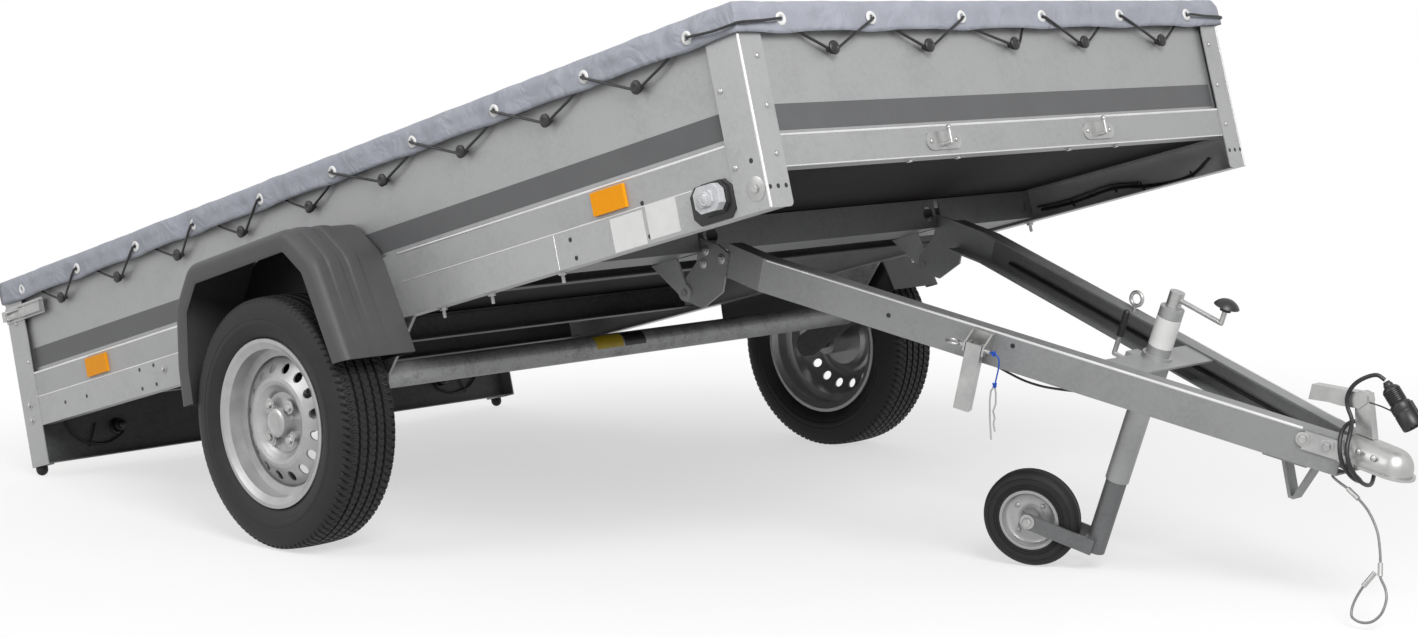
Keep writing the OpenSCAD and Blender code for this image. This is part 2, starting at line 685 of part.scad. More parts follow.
// Plates bolted to the beams, which hang on the tilt hinge's pins; columns: along and up
plate_shape = [[-62, -24], [4, -22], [51, 29], [48, 112], [17, 120], [-40, 119], [-36, 67], [-66, 10]];
module hinge_plates() color("silver") drawbar() both() {
    translate([0, beam_rear_half + plate_t / 2, 0]) along_y(plate_t) polygon(plate_shape);
    translate([-bar_ahead, hinge_y, -bar_up]) rod_y(hinge_pin_r, 2 * (plate_t + seat) + arm_plate_t);
}

// Brace plate between the beams with the jack's clamp collar and its box
brace_lead = 52;
brace_tail = 30;
brace_t = 4;
collar_wall = 6;
collar_low = -46;
collar_h = 50;
box_len = 34;
box_w = 40;
box_h = 32;
function beam_half(x) = beam_rear_half - (x - bend_x) * tan(beam_angle);
module brace_outline(x0, x1) {
    y0 = beam_half(x0) - 2 * beam_t;
    y1 = beam_half(x1) - 2 * beam_t;
    polygon([[x0, -y0], [x1, -y1], [x1, y1], [x0, y0]]);
}
module cross_brace() color("silver") difference() {
    union() {
        drawbar() translate([0, 0, beam_top - beam_t - brace_t]) linear_extrude(brace_t)
            brace_outline(jack_x - brace_tail, jack_x + brace_lead);
        jack() translate([0, 0, collar_low]) cylinder(r = jack_r + collar_wall, h = collar_h);
        jack() translate([-jack_r - box_len, -box_w / 2, collar_low]) cube([box_len, box_w, box_h]);
    }
    jack() translate([0, 0, collar_low - cut]) cylinder(r = jack_r + run_gap, h = collar_h + 2 * cut);
}

// Ball coupling: two ears on the beams, a tapered neck with a lip and a domed head with the socket
ear_len = 72;
ear_t = 4;
ear_h = 36;
ear_lap = 5;
neck_half = beam_front_half + ear_t;
module neck_plan(out) polygon([[beam_len + seat, -neck_half - out], [ball_x, -head_r - out],
    [ball_x, head_r + out], [beam_len + seat, neck_half + out]]);
module coupling() color("lightgray") drawbar() {
    both() translate([beam_len, beam_front_half + seat, socket_mouth_z]) rotate(-beam_angle)
        translate([-ear_len, 0, 0]) cube([ear_len + ear_lap, ear_t, ear_h]);
    difference() {
        union() {
            translate([0, 0, socket_mouth_z]) linear_extrude(skirt_up) neck_plan(0);
            translate([0, 0, socket_mouth_z]) linear_extrude(lip_t) neck_plan(lip_out);
            translate([ball_x, 0, socket_mouth_z]) cylinder(r = head_r, h = skirt_up);
            translate([ball_x, 0, socket_mouth_z]) cylinder(r = head_r + lip_out, h = lip_t);
            translate([ball_x, 0, head_mid_z]) sphere(head_r);
            translate([beam_len + seat, 0, head_mid_z]) rod_x(head_r, ball_ahead - seat);
        }
        translate([ball_x, 0, socket_mouth_z - cut]) cylinder(r = socket_r, h = socket_depth + cut);
        translate([beam_len, -2 * head_r, socket_mouth_z - head_r]) cube([2 * ball_ahead, 4 * head_r, head_r]);
    }
}

// Lever on top of the coupling, on its upright; columns: along and up from the lever's pivot
handle_w = 26;
upright_w = 20;
upright_r = 16;
pivot_up = 63;
pivot_back = 4;
lever_shape = [[-103, -6], [9, 15], [14, 0], [0, -17], [-39, -25], [-62, -27], [-103, -36]];
upright_shape = [[5, -pivot_up], [41, -pivot_up], [16, 0], [-14, -5]];
lever_pivot = [beam_len - pivot_back, 0, head_top_z + pivot_up];
module coupling_handle() color("whitesmoke") drawbar() translate(lever_pivot) {
    along_y(handle_w) polygon(lever_shape);
    along_y(upright_w) {
        circle(upright_r);
        polygon(upright_shape);
    }
}

// Jack: outer tube, crank with its cap and knob, and clamp lever
notch_w = 14;
notch_h = 24;
module jack_tube() color("lightgray") jack() difference() {
    translate([0, 0, jack_low]) cylinder(r = jack_r, h = jack_high - jack_low);
    translate([0, 0, jack_low - cut]) cylinder(r = leg_r + seat, h = jack_high - jack_low - jack_wall + cut);
    translate([-2 * jack_r, -notch_w / 2, jack_low - cut]) cube([2 * jack_r, notch_w, notch_h + cut]);
}
cap_r = 15;
cap_h = 33;
crank_up = 20;
crank_turn = 5;
crank_r = 5;
crank_len = 117;
crank_rise = 26;
knob_r = 25;
knob_sink = 14;
knob_dome_r = 29;
knob_neck_r = 11;
knob_neck_h = 9;
module knob() rotate_extrude() {
    square([knob_neck_r, knob_neck_h]);
    translate([0, knob_neck_h]) intersection() {
        translate([0, -knob_sink]) circle(knob_dome_r);
        square(knob_r);
    }
}
module jack_crank() color("gainsboro") jack() translate([0, 0, jack_high]) rotate(-crank_turn) {
    cylinder(r = cap_r, h = cap_h);
    translate([0, 0, crank_up]) rod_x(crank_r, crank_len);
    translate([crank_len, 0, crank_up]) {
        sphere(crank_r);
        cylinder(r = crank_r, h = crank_rise);
    }
}
module crank_knob() color("black") jack() translate([0, 0, jack_high]) rotate(-crank_turn)
    translate([crank_len, 0, crank_up + crank_rise]) knob();
lever_r = 5;
lever_out = 36;
lever_rise = 38;
lever_z = -38;
grip_r = 7;
grip_len = 50;
lever_root = -jack_r - box_len;
module clamp_lever() color("gainsboro") jack() translate([lever_root - lever_out, 0, lever_z]) {
    rod_x(lever_r, lever_out);
    sphere(lever_r);
    cylinder(r = lever_r, h = lever_rise);
}
module clamp_grip() color("dimgray") jack() translate([lever_root - lever_out, 0, lever_z + lever_rise]) {
    cylinder(r = grip_r, h = grip_len);
    translate([0, 0, grip_len]) sphere(grip_r);
}

// Tilt lock on the right beam: a bracket with a hanging channel lever, its pin and ring
lock_x = 616;
lock_w = 44;
lock_t = 4;
lock_plate_h = 38;
lock_drop = 6;
// Columns: out from the beam and up from its top
lock_shape = [[0, -6], [12, -6], [46, -26], [46, -44], [30, -44], [0, -36]];
lock_pin_at = [36, -34];
lock_pin_r = 4;
lock_pin_out = 10;
lock_ring_r = 14;
lock_ring_rod_r = 2.5;
lock_lever_w = 32;
lock_lever_d = 20;
lock_lever_top = -24;
lock_lever_len = 136;
module lock_frame() drawbar() mirror([0, 1, 0])
    translate([lock_x, beam_half(lock_x) + seat, beam_top]) rotate(-beam_angle) children();
module tilt_lock() color("gainsboro") lock_frame() {
    for (m = [0, 1]) mirror([m, 0, 0]) translate([lock_w / 2 - lock_t, 0, 0]) along_x(lock_t) polygon(lock_shape);
    translate([-lock_w / 2, 0, -lock_drop - lock_plate_h]) cube([lock_w, lock_t, lock_plate_h]);
    translate([-lock_w / 2 - lock_pin_out, lock_pin_at[0], lock_pin_at[1]])
        rod_x(lock_pin_r, lock_w + 2 * lock_pin_out);
    translate([-lock_w / 2 - lock_pin_out - lock_ring_r, lock_pin_at[0], lock_pin_at[1]])
        rotate_extrude() translate([lock_ring_r, 0]) circle(lock_ring_rod_r);
    translate([-lock_lever_w / 2, lock_pin_at[0] - lock_lever_d / 2, lock_lever_top - lock_lever_len]) difference() {
        cube([lock_lever_w, lock_lever_d, lock_lever_len]);
        translate([lock_t, -cut, -cut])
            cube([lock_lever_w - 2 * lock_t, lock_lever_d - lock_t + cut, lock_lever_len + 2 * cut]);
    }
}

// Eye bolt on the left beam
eye_x = 640;
eye_r = 18;
eye_rod_r = 4;
eye_stem = 12;
module eye_bolt() color("gainsboro") drawbar()
    translate([eye_x, beam_half(eye_x) - beam_flange / 2, beam_top]) {
        cylinder(r = eye_rod_r, h = eye_stem);
        translate([0, 0, eye_stem + eye_r - eye_rod_r]) rotate([90, 0, 0])
            rotate_extrude() translate([eye_r - eye_rod_r, 0]) circle(eye_rod_r);
    }

// Bent strap under the beams that the drawbar rests on when the jack is up
strap_back = 138;
strap_x = beam_len - strap_back;
strap_len = 80;
strap_drop = 80;
strap_t = 5;
strap_w = 30;
strap_tip_shares = [0.5, 0.64];
module rest_strap() color("gray") drawbar() {
    translate([strap_x, 0, beam_bottom - strap_t]) along_y(strap_w) difference() {
        polygon([[0, 0], [strap_tip_shares[0] * strap_len, -strap_drop],
            [strap_tip_shares[1] * strap_len, -strap_drop], [strap_len, 0]]);
        polygon([[strap_t, cut], [strap_tip_shares[0] * strap_len + strap_t, -strap_drop + strap_t],
            [strap_tip_shares[1] * strap_len - strap_t / 2, -strap_drop + strap_t], [strap_len - strap_t, cut]]);
    }
    translate([0, 0, beam_bottom - strap_t]) linear_extrude(strap_t) brace_outline(strap_x, strap_x + strap_len);
}

// Wiring clipped along the inside of the left beam
wire_r = 4;
module beam_wiring() color("black") drawbar()
    translate([bend_x, beam_rear_half, 0]) rotate(-beam_angle)
        translate([2 * beam_flange, -beam_t - wire_r - seat, beam_bottom + beam_h / 3])
            rod_x(wire_r, beam_skew_len - 4 * beam_flange);

// Tubes swept along hand-chosen routes
function unit(v) = v / norm(v);
function tangent(p, i) = unit(p[min(i + 1, len(p) - 1)] - p[max(i - 1, 0)]);
steep_share = 0.9;
function side_of(t) = unit(cross(t, abs(t[1]) < steep_share ? [0, 1, 0] : [1, 0, 0]));
module tube(p, r, sides) {
    rings = [for (i = [0:len(p) - 1]) let (t = tangent(p, i), a = side_of(t), b = cross(t, a))
        for (k = [0:sides - 1]) p[i] + r * (cos(360 * k / sides) * a + sin(360 * k / sides) * b)];
    n = len(p);
    faces = concat([[for (k = [0:sides - 1]) k]],
        [for (i = [0:n - 2], k = [0:sides - 1]) [i * sides + k, (i + 1) * sides + k,
            (i + 1) * sides + (k + 1) % sides, i * sides + (k + 1) % sides]],
        [[for (k = [sides - 1:-1:0]) (n - 1) * sides + k]]);
    polyhedron(rings, faces);
}

// Plug tied to the coupling's lever, with its cable wound round the neck
plug_r = 17;
plug_len = 96;
plug_head_r = 20;
plug_from_pivot = [37, -8, 48];
plug_dip = 39.5;
tie_r = 1.5;
tie_len = 48;
module plug() color("black") drawbar() translate(lever_pivot) {
    translate(plug_from_pivot) rotate([0, 90 + plug_dip, 0]) {
        cylinder(r = plug_r, h = plug_len);
        translate([0, 0, plug_len / 2]) cylinder(r = plug_head_r, h = plug_len / 2);
    }
    translate([upright_r + seat, plug_from_pivot[1], 0]) rod_x(tie_r, tie_len);
}
plug_cable_r = 4;
cord_sides = 8;
// Columns: along, sideways and up from the middle of the beams' lower front ends
plug_route = [[-16, 20, -4.4], [6, 18, -5], [28, 2, -6], [28, -36, 8], [16, -61, 34], [2, -61, 64],
    [-8, -44, 88], [-13, -10, 97], [-10, 28, 92], [2, 57, 70], [14, 61, 38], [30, 42, 6], [46, 6, -6],
    [46, -34, 6], [32, -60, 34], [18, -61, 62], [8, -45, 88], [-6, -24, 106], [-22, -20, 124],
    [-28, -20, 142], [-22, -20, 166], [-6, -19, 186], [14, -13, 199], [30, -8, 194.6]];
module plug_cable() color("black") drawbar()
    tube([for (s = plug_route) [beam_len, 0, beam_bottom] + s], plug_cable_r, cord_sides);

// Breakaway cable that hangs from the right beam's end in a loop
safety_r = 2.5;
safety_from = [beam_len, -beam_front_half + beam_t, beam_bottom];
safety_height = bar_height - safety_from[0] * sin(drawbar_pitch) + safety_from[2] * cos(drawbar_pitch);
// Columns: forward, sideways, and the share of the height that is left above the ground
safety_shares = [[8, 0, 0.95], [25, -3, 0.92], [48, -6, 0.86], [72, -11, 0.78], [94, -20, 0.66],
    [104, -28, 0.54], [108, -33, 0.45], [111, -39, 0.36], [126, -48, 0.29], [133, -56, 0.22], [130, -67, 0.13],
    [116, -73, 0.07], [98, -75, 0.05], [80, -73, 0.06], [70, -68, 0.09], [70, -58, 0.17], [82, -47, 0.28],
    [100, -38, 0.38]];
function hang(s) = safety_from + [s[0] * cos(drawbar_pitch) + (1 - s[2]) * safety_height * sin(drawbar_pitch),
    s[1], s[0] * sin(drawbar_pitch) - (1 - s[2]) * safety_height * cos(drawbar_pitch)];
safety_set = [8, -2, 0];
safety_lead = 5;
safety_root = safety_from - safety_set;
module safety_cable() color("silver") drawbar()
    tube(concat([safety_root, safety_root - [0, 0, safety_lead]], [for (s = safety_shares) hang(s)]),
        safety_r, cord_sides);

// Lanyard on the tilt lock's pin with its spring clip; columns: along, sideways and up in the lock's frame
lanyard_r = 1.5;
lock_pin_end = [lock_w / 2 + lock_pin_out, lock_pin_at[0], lock_pin_at[1]];
lanyard_route = [[0, 0, 0], [10, 1, 1], [20, 1, -6], [23, 0, -20], [23, -1, -40], [22, -2, -64]];
module lanyard() color("royalblue") lock_frame()
    tube([for (s = lanyard_route) lock_pin_end + s], lanyard_r, cord_sides);
clip_r = 1.8;
clip_route = [[16, 0, -104], [5, 0, -66], [-3, 0, -30], [-5, 0, -10], [-2, 0, -2.1], [2, 0, -2.1], [6, 0, -12],
    [10, 0, -32], [8, 0, -48], [14, 0, -60], [14, 0, -72], [20, 0, -86]];
module spring_clip() color("silver") lock_frame()
    tube([for (s = clip_route) lock_pin_end + lanyard_route[len(lanyard_route) - 1] + s], clip_r, cord_sides);

// Leg of the jack: nut, inner tube with fork, and the jockey wheel
module jack_nut() color("gray") leg() translate([0, 0, leg_drop + leg_top - nut_h])
    cylinder(r = leg_r - leg_wall - seat, h = nut_h);
fork_half = jockey_w / 2 + swing_gap;
jockey_pin_r = 6;
module jack_leg() color("gray") leg() {
    difference() {
        translate([0, 0, -leg_foot]) cylinder(r = leg_r, h = leg_foot + leg_drop + leg_top);
        translate([0, 0, fork_h]) cylinder(r = leg_r - leg_wall, h = leg_drop + leg_top);
    }
    both() translate([-jockey_trail - fork_h / 2, fork_half, -fork_h / 2])
        cube([jockey_trail + fork_h / 2, fork_t, fork_h]);
    translate([-leg_r, -fork_half - fork_t, -fork_h / 2]) cube([leg_r, 2 * (fork_half + fork_t), fork_h]);
    translate([-jockey_trail, 0, 0]) rod_y(jockey_pin_r, 2 * fork_half);
}
jockey_bed_r = 62;
module jockey_section() {
    h = jockey_w / 2;
    translate([jockey_bed_r, -h + jockey_shoulder]) square([jockey_r - jockey_bed_r, jockey_w - 2 * jockey_shoulder]);
    translate([jockey_bed_r, -h]) square([jockey_r - jockey_bed_r - jockey_shoulder, jockey_w]);
    for (s = [-1, 1]) translate([jockey_r - jockey_shoulder, s * (h - jockey_shoulder)]) circle(jockey_shoulder);
}
module jockey_tyre() color("black") leg() translate([-jockey_trail, 0, 0]) rotate([90, 0, 0])
    rotate_extrude($fn = 64) jockey_section();
jockey_hub_r = 16;
jockey_disc_t = 6;
module jockey_rim() color("silver") leg() translate([-jockey_trail, 0, 0]) rotate([90, 0, 0])
    rotate_extrude($fn = 64) {
        h = jockey_w / 2;
        translate([jockey_bed_r - jockey_disc_t, -h]) square([jockey_disc_t - bead_gap, jockey_w]);
        translate([jockey_pin_r + run_gap, -jockey_disc_t / 2])
            square([jockey_bed_r - jockey_pin_r - cut, jockey_disc_t]);
        translate([jockey_pin_r + run_gap, -h - swing_gap / 2])
            square([jockey_hub_r - jockey_pin_r, jockey_w + swing_gap]);
    }

floor_panel();
side_panel_left();
side_panel_right();
front_panel();
front_posts();
rear_posts();
side_rails();
front_crossbeam();
crossmembers();
light_bar();
axle_beam();
trailing_arms();
mudguard_left();
mudguard_right();
hinge_arms();
marker_lamps();
side_reflectors();
rear_lamps();
tail_buffers();
lacing_hooks();
rope_hooks();
latches();
gate_lugs();
cover();
cover_rear_flap();
tailgate();
gate_hooks();
tyre_left();
rim_left();
tyre_right();
rim_right();
beam_left();
beam_right();
hinge_plates();
cross_brace();
coupling();
coupling_handle();
jack_tube();
jack_crank();
crank_knob();
clamp_lever();
clamp_grip();
tilt_lock();
eye_bolt();
rest_strap();
beam_wiring();
plug();
plug_cable();
safety_cable();
lanyard();
spring_clip();
jack_nut();
jack_leg();
jockey_tyre();
jockey_rim();
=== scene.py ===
"""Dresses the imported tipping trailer: camera and light, cords, laced cover, tyres, fasteners and finishes."""

import itertools
import json
import math

import bpy
from mathutils import Matrix, Vector, noise

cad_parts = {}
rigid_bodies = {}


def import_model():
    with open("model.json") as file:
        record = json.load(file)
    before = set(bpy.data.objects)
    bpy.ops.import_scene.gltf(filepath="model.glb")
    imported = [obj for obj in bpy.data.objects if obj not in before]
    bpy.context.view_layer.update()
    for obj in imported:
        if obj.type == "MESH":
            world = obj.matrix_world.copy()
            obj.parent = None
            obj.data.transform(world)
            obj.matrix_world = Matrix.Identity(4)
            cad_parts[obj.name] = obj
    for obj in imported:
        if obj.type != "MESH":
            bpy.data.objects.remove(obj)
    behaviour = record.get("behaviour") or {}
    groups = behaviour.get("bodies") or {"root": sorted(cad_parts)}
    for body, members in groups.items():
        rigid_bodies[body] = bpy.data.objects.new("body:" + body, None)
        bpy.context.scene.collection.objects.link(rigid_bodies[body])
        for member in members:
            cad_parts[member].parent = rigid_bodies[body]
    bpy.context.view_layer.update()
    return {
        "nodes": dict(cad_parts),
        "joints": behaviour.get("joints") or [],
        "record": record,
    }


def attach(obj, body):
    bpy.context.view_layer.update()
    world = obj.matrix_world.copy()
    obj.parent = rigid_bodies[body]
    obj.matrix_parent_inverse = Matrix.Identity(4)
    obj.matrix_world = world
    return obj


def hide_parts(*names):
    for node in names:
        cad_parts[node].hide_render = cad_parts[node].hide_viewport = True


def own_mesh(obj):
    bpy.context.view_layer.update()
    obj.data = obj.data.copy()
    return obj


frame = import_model()
nodes = frame["nodes"]
joints = {j["name"]: j for j in frame["joints"]}

# Frames of the bed, drawbar and jack, from the joints and the pitches of part.scad
MM = 0.001
BED_PITCH, DRAWBAR_PITCH, JACK_LEAN = (math.radians(a) for a in (14.0, 15.2, 5.5))
BAR_AHEAD, BAR_UP, JACK_X, BEAM_TOP, BEAM_BOTTOM, BEAM_LEN = 50, 5, 854, 131, 61, 1306


def shift(x, y, z):
    return Matrix.Translation(Vector((x, y, z)) * MM)


def joint_place(name):
    return Vector(joints[name]["pos_m"])


def turn_y(angle):
    return Matrix.Rotation(angle, 4, "Y")


wheel_mid = joint_place("right_wheel_spin")
BED = Matrix.Translation((wheel_mid.x, 0, wheel_mid.z)) @ turn_y(-BED_PITCH)
BAR = Matrix.Translation(joint_place("bed_tilt")) @ turn_y(DRAWBAR_PITCH) @ shift(BAR_AHEAD, 0, BAR_UP)
JACK = BAR @ shift(JACK_X, 0, BEAM_TOP) @ turn_y(JACK_LEAN)


def at(place, x, y, z):
    """A point of a frame, given in millimetres, in the row frame."""
    return place @ (Vector((x, y, z)) * MM)


# Sizes of the bed, in millimetres
BED_REAR, BED_FRONT, BED_HALF = -1297, 1408, 778
LOWER_HALF, UPPER_HALF = 775.5, 765.5
FRONT_LOWER, FRONT_UPPER = 1405.5, 1395.5
FLOOR_Z, WALL_TOP, BAND_TOP, RAIL_BOTTOM = 234, 540, 296, 161
HOOK_Z, SKIRT_LOW, EYELET_Z = 454, 484, 508
COVER_OUT = 4.5
# The drawbar's beams run parallel up to the bend and then draw together to the nose
BEAM_REAR_HALF, BEAM_NOSE_HALF, BEND_X = 384, 43, 140
BEAM_SKEW = math.atan((BEAM_REAR_HALF - BEAM_NOSE_HALF) / (BEAM_LEN - BEND_X))


def beam_half(x):
    """Distance of a beam's outer face from the middle plane."""
    return BEAM_REAR_HALF - (x - BEND_X) * math.tan(BEAM_SKEW)


SIDES = ((-1, "-y"), (1, "y"))


# Camera, set where the photograph was taken
def set_camera():
    image_w, image_h = 1418, 637
    focal_px, middle_x, middle_y = 2498.9, 716.1, 247.2
    eye = Vector((4.0134, -4.0529, 1.0680))
    right = Vector((0.71442, 0.69947, -0.01886))
    up = Vector((-0.04357, 0.07137, 0.99650))
    data = bpy.data.cameras.new("camera")
    data.sensor_width = 36
    data.lens = data.sensor_width * focal_px / image_w
    data.shift_x = (image_w / 2 - middle_x) / image_w
    data.shift_y = (middle_y - image_h / 2) / image_w
    data.clip_end = 100
    camera = bpy.data.objects.new("camera", data)
    back = right.cross(up)
    camera.matrix_world = Matrix.Translation(eye) @ Matrix((right, up, back)).transposed().to_4x4()
    bpy.context.collection.objects.link(camera)
    bpy.context.scene.camera = camera


# Materials: each one varies its colour and roughness and has a fine relief
# Most are named for a slot of the record
SPANGLE_SHARE = 0.35
finish, own_slot = {}, {}


def add(tree, kind, **inputs):
    node = tree.nodes.new(kind)
    for key, value in inputs.items():
        node.inputs[key.replace("_", " ")].default_value = value
    return node


def combine(tree, operation, *values):
    """A maths node on sockets and plain numbers; returns its result."""
    node = tree.nodes.new("ShaderNodeMath")
    node.operation = operation
    for socket, value in zip(node.inputs, values):
        if isinstance(value, bpy.types.NodeSocket):
            tree.links.new(value, socket)
        else:
            socket.default_value = value
    return node.outputs[0]


def surface(name, light, dark, patch, rough, metallic=0.0, relief=0.0, grain=900.0,
            cells=False, weave=False, folds=0.0, **sockets):
    """Principled finish; patch and grain set how fine its spots and relief are, rough its roughness range."""
    mat = bpy.data.materials.new(name)
    mat.use_nodes = True
    tree = mat.node_tree
    link = tree.links.new
    shader = tree.nodes["Principled BSDF"]
    shader.inputs["Metallic"].default_value = metallic
    for key, value in sockets.items():
        shader.inputs[key.replace("_", " ")].default_value = value
    where = tree.nodes.new("ShaderNodeTexCoord").outputs["Object"]
    spots = add(tree, "ShaderNodeTexNoise", Scale=patch, Detail=4.0, Roughness=0.6)
    link(where, spots.inputs["Vector"])
    share = spots.outputs["Fac"]
    if cells:
        spangle = add(tree, "ShaderNodeTexVoronoi", Scale=patch * 16)
        link(where, spangle.inputs["Vector"])
        share = combine(tree, "MULTIPLY_ADD", spangle.outputs["Color"], SPANGLE_SHARE, share)
    ramp = tree.nodes.new("ShaderNodeValToRGB")
    ramp.color_ramp.elements[0].position = 0.3
    ramp.color_ramp.elements[1].position = 0.75
    ramp.color_ramp.elements[0].color = (*dark, 1)
    ramp.color_ramp.elements[1].color = (*light, 1)
    link(share, ramp.inputs["Fac"])
    link(ramp.outputs["Color"], shader.inputs["Base Color"])
    sheen = add(tree, "ShaderNodeMapRange", To_Min=rough[0], To_Max=rough[1])
    link(share, sheen.inputs["Value"])
    link(sheen.outputs["Result"], shader.inputs["Roughness"])
    if relief:
        if weave:
            threads = add(tree, "ShaderNodeTexChecker", Scale=grain)
        else:
            threads = add(tree, "ShaderNodeTexNoise", Scale=grain, Detail=3.0)
        link(where, threads.inputs["Vector"])
        bump = add(tree, "ShaderNodeBump", Strength=relief, Distance=0.001)
        link(threads.outputs["Fac"], bump.inputs["Height"])
        link(bump.outputs["Normal"], shader.inputs["Normal"])
        if folds:
            cloud = add(tree, "ShaderNodeTexNoise", Scale=folds, Detail=2.5, Distortion=1.2)
            link(where, cloud.inputs["Vector"])
            ridge = combine(tree, "ABSOLUTE", combine(tree, "SUBTRACT", cloud.outputs["Fac"], 0.5))
            crumple = add(tree, "ShaderNodeBump", Strength=0.38, Distance=0.02)
            link(ridge, crumple.inputs["Height"])
            link(crumple.outputs["Normal"], bump.inputs["Normal"])
    finish[name], own_slot[mat] = mat, name
    return mat


def steel(name, light, dark, patch=9, rough=(0.36, 0.54), metallic=0.55, relief=0.08):
    """Spangled zinc-coated steel between two greys, each a trace blue."""
    shades = [(grey, grey + 0.002, grey + 0.005) for grey in (light, dark)]
    return surface(name, *shades, patch, rough, metallic, relief, 700, cells=True)


def label(name, light, dark):
    return surface(name, light, dark, 30, (0.35, 0.5), 0, 0.03)


steel("galvanised", 0.385, 0.335)
bright_steel = steel("bright_steel", 0.425, 0.365, 10, (0.3, 0.46), 0.6)
beam_steel = steel("beam_steel", 0.285, 0.235)
# Darker copy of the spangled steel for the jack leg and the front crossbeam: painted shade
shaded_steel = steel("shaded_steel", 0.17, 0.13)
hot_dip = steel("hot_dip", 0.37, 0.16, 16, (0.36, 0.6), 0.5, 0.12)
# Near-black copy of the spangled steel for the parts under the bed: painted shade
underside_shade_steel = surface("underside_shade_steel", (0.095, 0.096, 0.098), (0.052, 0.053, 0.055), 7, (0.45, 0.65), 0.4, 0.1,
                     700, cells=True)
zinc = surface("zinc", (0.52, 0.52, 0.51), (0.38, 0.38, 0.38), 25, (0.26, 0.44), 0.8, 0.08, 1200)
# Light steel of the rounded folds: a painted highlight along the edges of the sheet
fold_highlight_steel = surface("fold_highlight_steel", (0.82, 0.82, 0.82), (0.68, 0.68, 0.68), 12, (0.2, 0.32), 0.7, 0.05)
wire_rope = surface("wire_rope", (0.3, 0.3, 0.295), (0.2, 0.2, 0.2), 500, (0.35, 0.5), 0.6, 0.5, 1400,
                    weave=True)
rim_silver = surface("rim_silver", (0.47, 0.47, 0.47), (0.39, 0.39, 0.393), 30, (0.28, 0.4), 0.5, 0.06, 2500)
stripe_grey = surface("stripe_grey", (0.105, 0.107, 0.11), (0.09, 0.091, 0.094), 9, (0.38, 0.5), 0, 0.03, 500)
# Dark brown film-faced plywood, darkened further as painted shade on the underside of the bed
surface("plywood", (0.013, 0.011, 0.01), (0.006, 0.005, 0.005), 14, (0.6, 0.75), 0, 0.25, 1400,
        weave=True, Specular_IOR_Level=0.07)
cover_fabric = surface("cover_fabric", (0.375, 0.387, 0.44), (0.305, 0.316, 0.362), 12, (0.44, 0.58), 0,
                       0.16, 800, weave=True, folds=14.0, Specular_IOR_Level=0.35)
tyre_rubber = surface("tyre_rubber", (0.022, 0.022, 0.022), (0.013, 0.013, 0.0135), 30, (0.5, 0.68), 0, 0.2,
                      1500, Specular_IOR_Level=0.3)
surface("rubber", (0.018, 0.018, 0.018), (0.012, 0.012, 0.012), 40, (0.5, 0.7), 0, 0.2, 1500,
        Specular_IOR_Level=0.3)
grey_plastic = surface("grey_plastic", (0.07, 0.07, 0.072), (0.052, 0.052, 0.054), 8, (0.45, 0.6), 0, 0.3,
                       1600)
black_plastic = surface("black_plastic", (0.016, 0.016, 0.017), (0.009, 0.009, 0.01), 40, (0.3, 0.5), 0,
                        0.12, 1500)
amber = surface("amber", (0.93, 0.37, 0.002), (0.86, 0.31, 0.001), 300, (0.3, 0.45), 0, 0.35, 420,
                weave=True, Specular_IOR_Level=0.2)
clear_lens = surface("clear_lens", (0.62, 0.63, 0.64), (0.46, 0.47, 0.49), 120, (0.08, 0.2), 0, 0.35, 300,
                     weave=True, Coat_Weight=0.8)
red_lens = surface("red_lens", (0.42, 0.012, 0.01), (0.3, 0.008, 0.008), 120, (0.12, 0.25), 0, 0.35, 300,
                   weave=True, Coat_Weight=0.8)
blue_cord = surface("blue_cord", (0.02, 0.12, 0.62), (0.012, 0.07, 0.4), 600, (0.6, 0.8), 0, 0.4, 1800,
                    weave=True)
white_label = label("white_label", (0.78, 0.78, 0.77), (0.7, 0.7, 0.69))
yellow_label = label("yellow_label", (0.62, 0.46, 0.03), (0.5, 0.36, 0.02))
black_label = label("black_label", (0.02, 0.02, 0.02), (0.012, 0.012, 0.012))


# Shapes: each returns its corners in metres and its faces
SHARP_DEGREES = 40


def grid(rows, cols, around=False):
    """Faces between rows of corners that are listed row after row; around closes each row to a ring."""
    faces = []
    for i in range(rows - 1):
        for k in range(cols if around else cols - 1):
            n = (k + 1) % cols
            faces.append((i * cols + k, i * cols + n, (i + 1) * cols + n, (i + 1) * cols + k))
    return faces


def tube(points, radius, sides=10):
    """A round tube along points, with closed ends."""
    corners = []
    last = len(points) - 1
    tangent = [(points[min(i + 1, last)] - points[max(i - 1, 0)]).normalized() for i in range(last + 1)]
    across = tangent[0].orthogonal().normalized()
    for i, p in enumerate(points):
        across = (across - tangent[i] * across.dot(tangent[i])).normalized()
        other = tangent[i].cross(across)
        for k in range(sides):
            a = 2 * math.pi * k / sides
            corners.append(p + (across * math.cos(a) + other * math.sin(a)) * radius)
    ends = [tuple(reversed(range(sides))), tuple(last * sides + k for k in range(sides))]
    return corners, grid(last + 1, sides, True) + ends


def smooth(points, steps=6):
    """A Catmull-Rom curve through points."""
    pts = [points[0] * 2 - points[1], *points, points[-1] * 2 - points[-2]]
    out = []
    for a, b, c, d in zip(pts, pts[1:], pts[2:], pts[3:]):
        for k in range(steps):
            t = k / steps
            square, cube = 2 * a - 5 * b + 4 * c - d, 3 * b - a - 3 * c + d
            out.append(0.5 * (2 * b + (c - a) * t + square * t * t + cube * t ** 3))
    return out + [points[-1]]


def wire(points, radius, steps=5):
    """A thin round run through points, its radius in millimetres."""
    return tube(smooth(points, steps), radius * MM, 8)


def round_places(radius, count, first=0.0):
    """Pairs of coordinates spread evenly round a circle."""
    angles = [first + 2 * math.pi * k / count for k in range(count)]
    return [(radius * math.cos(a), radius * math.sin(a)) for a in angles]


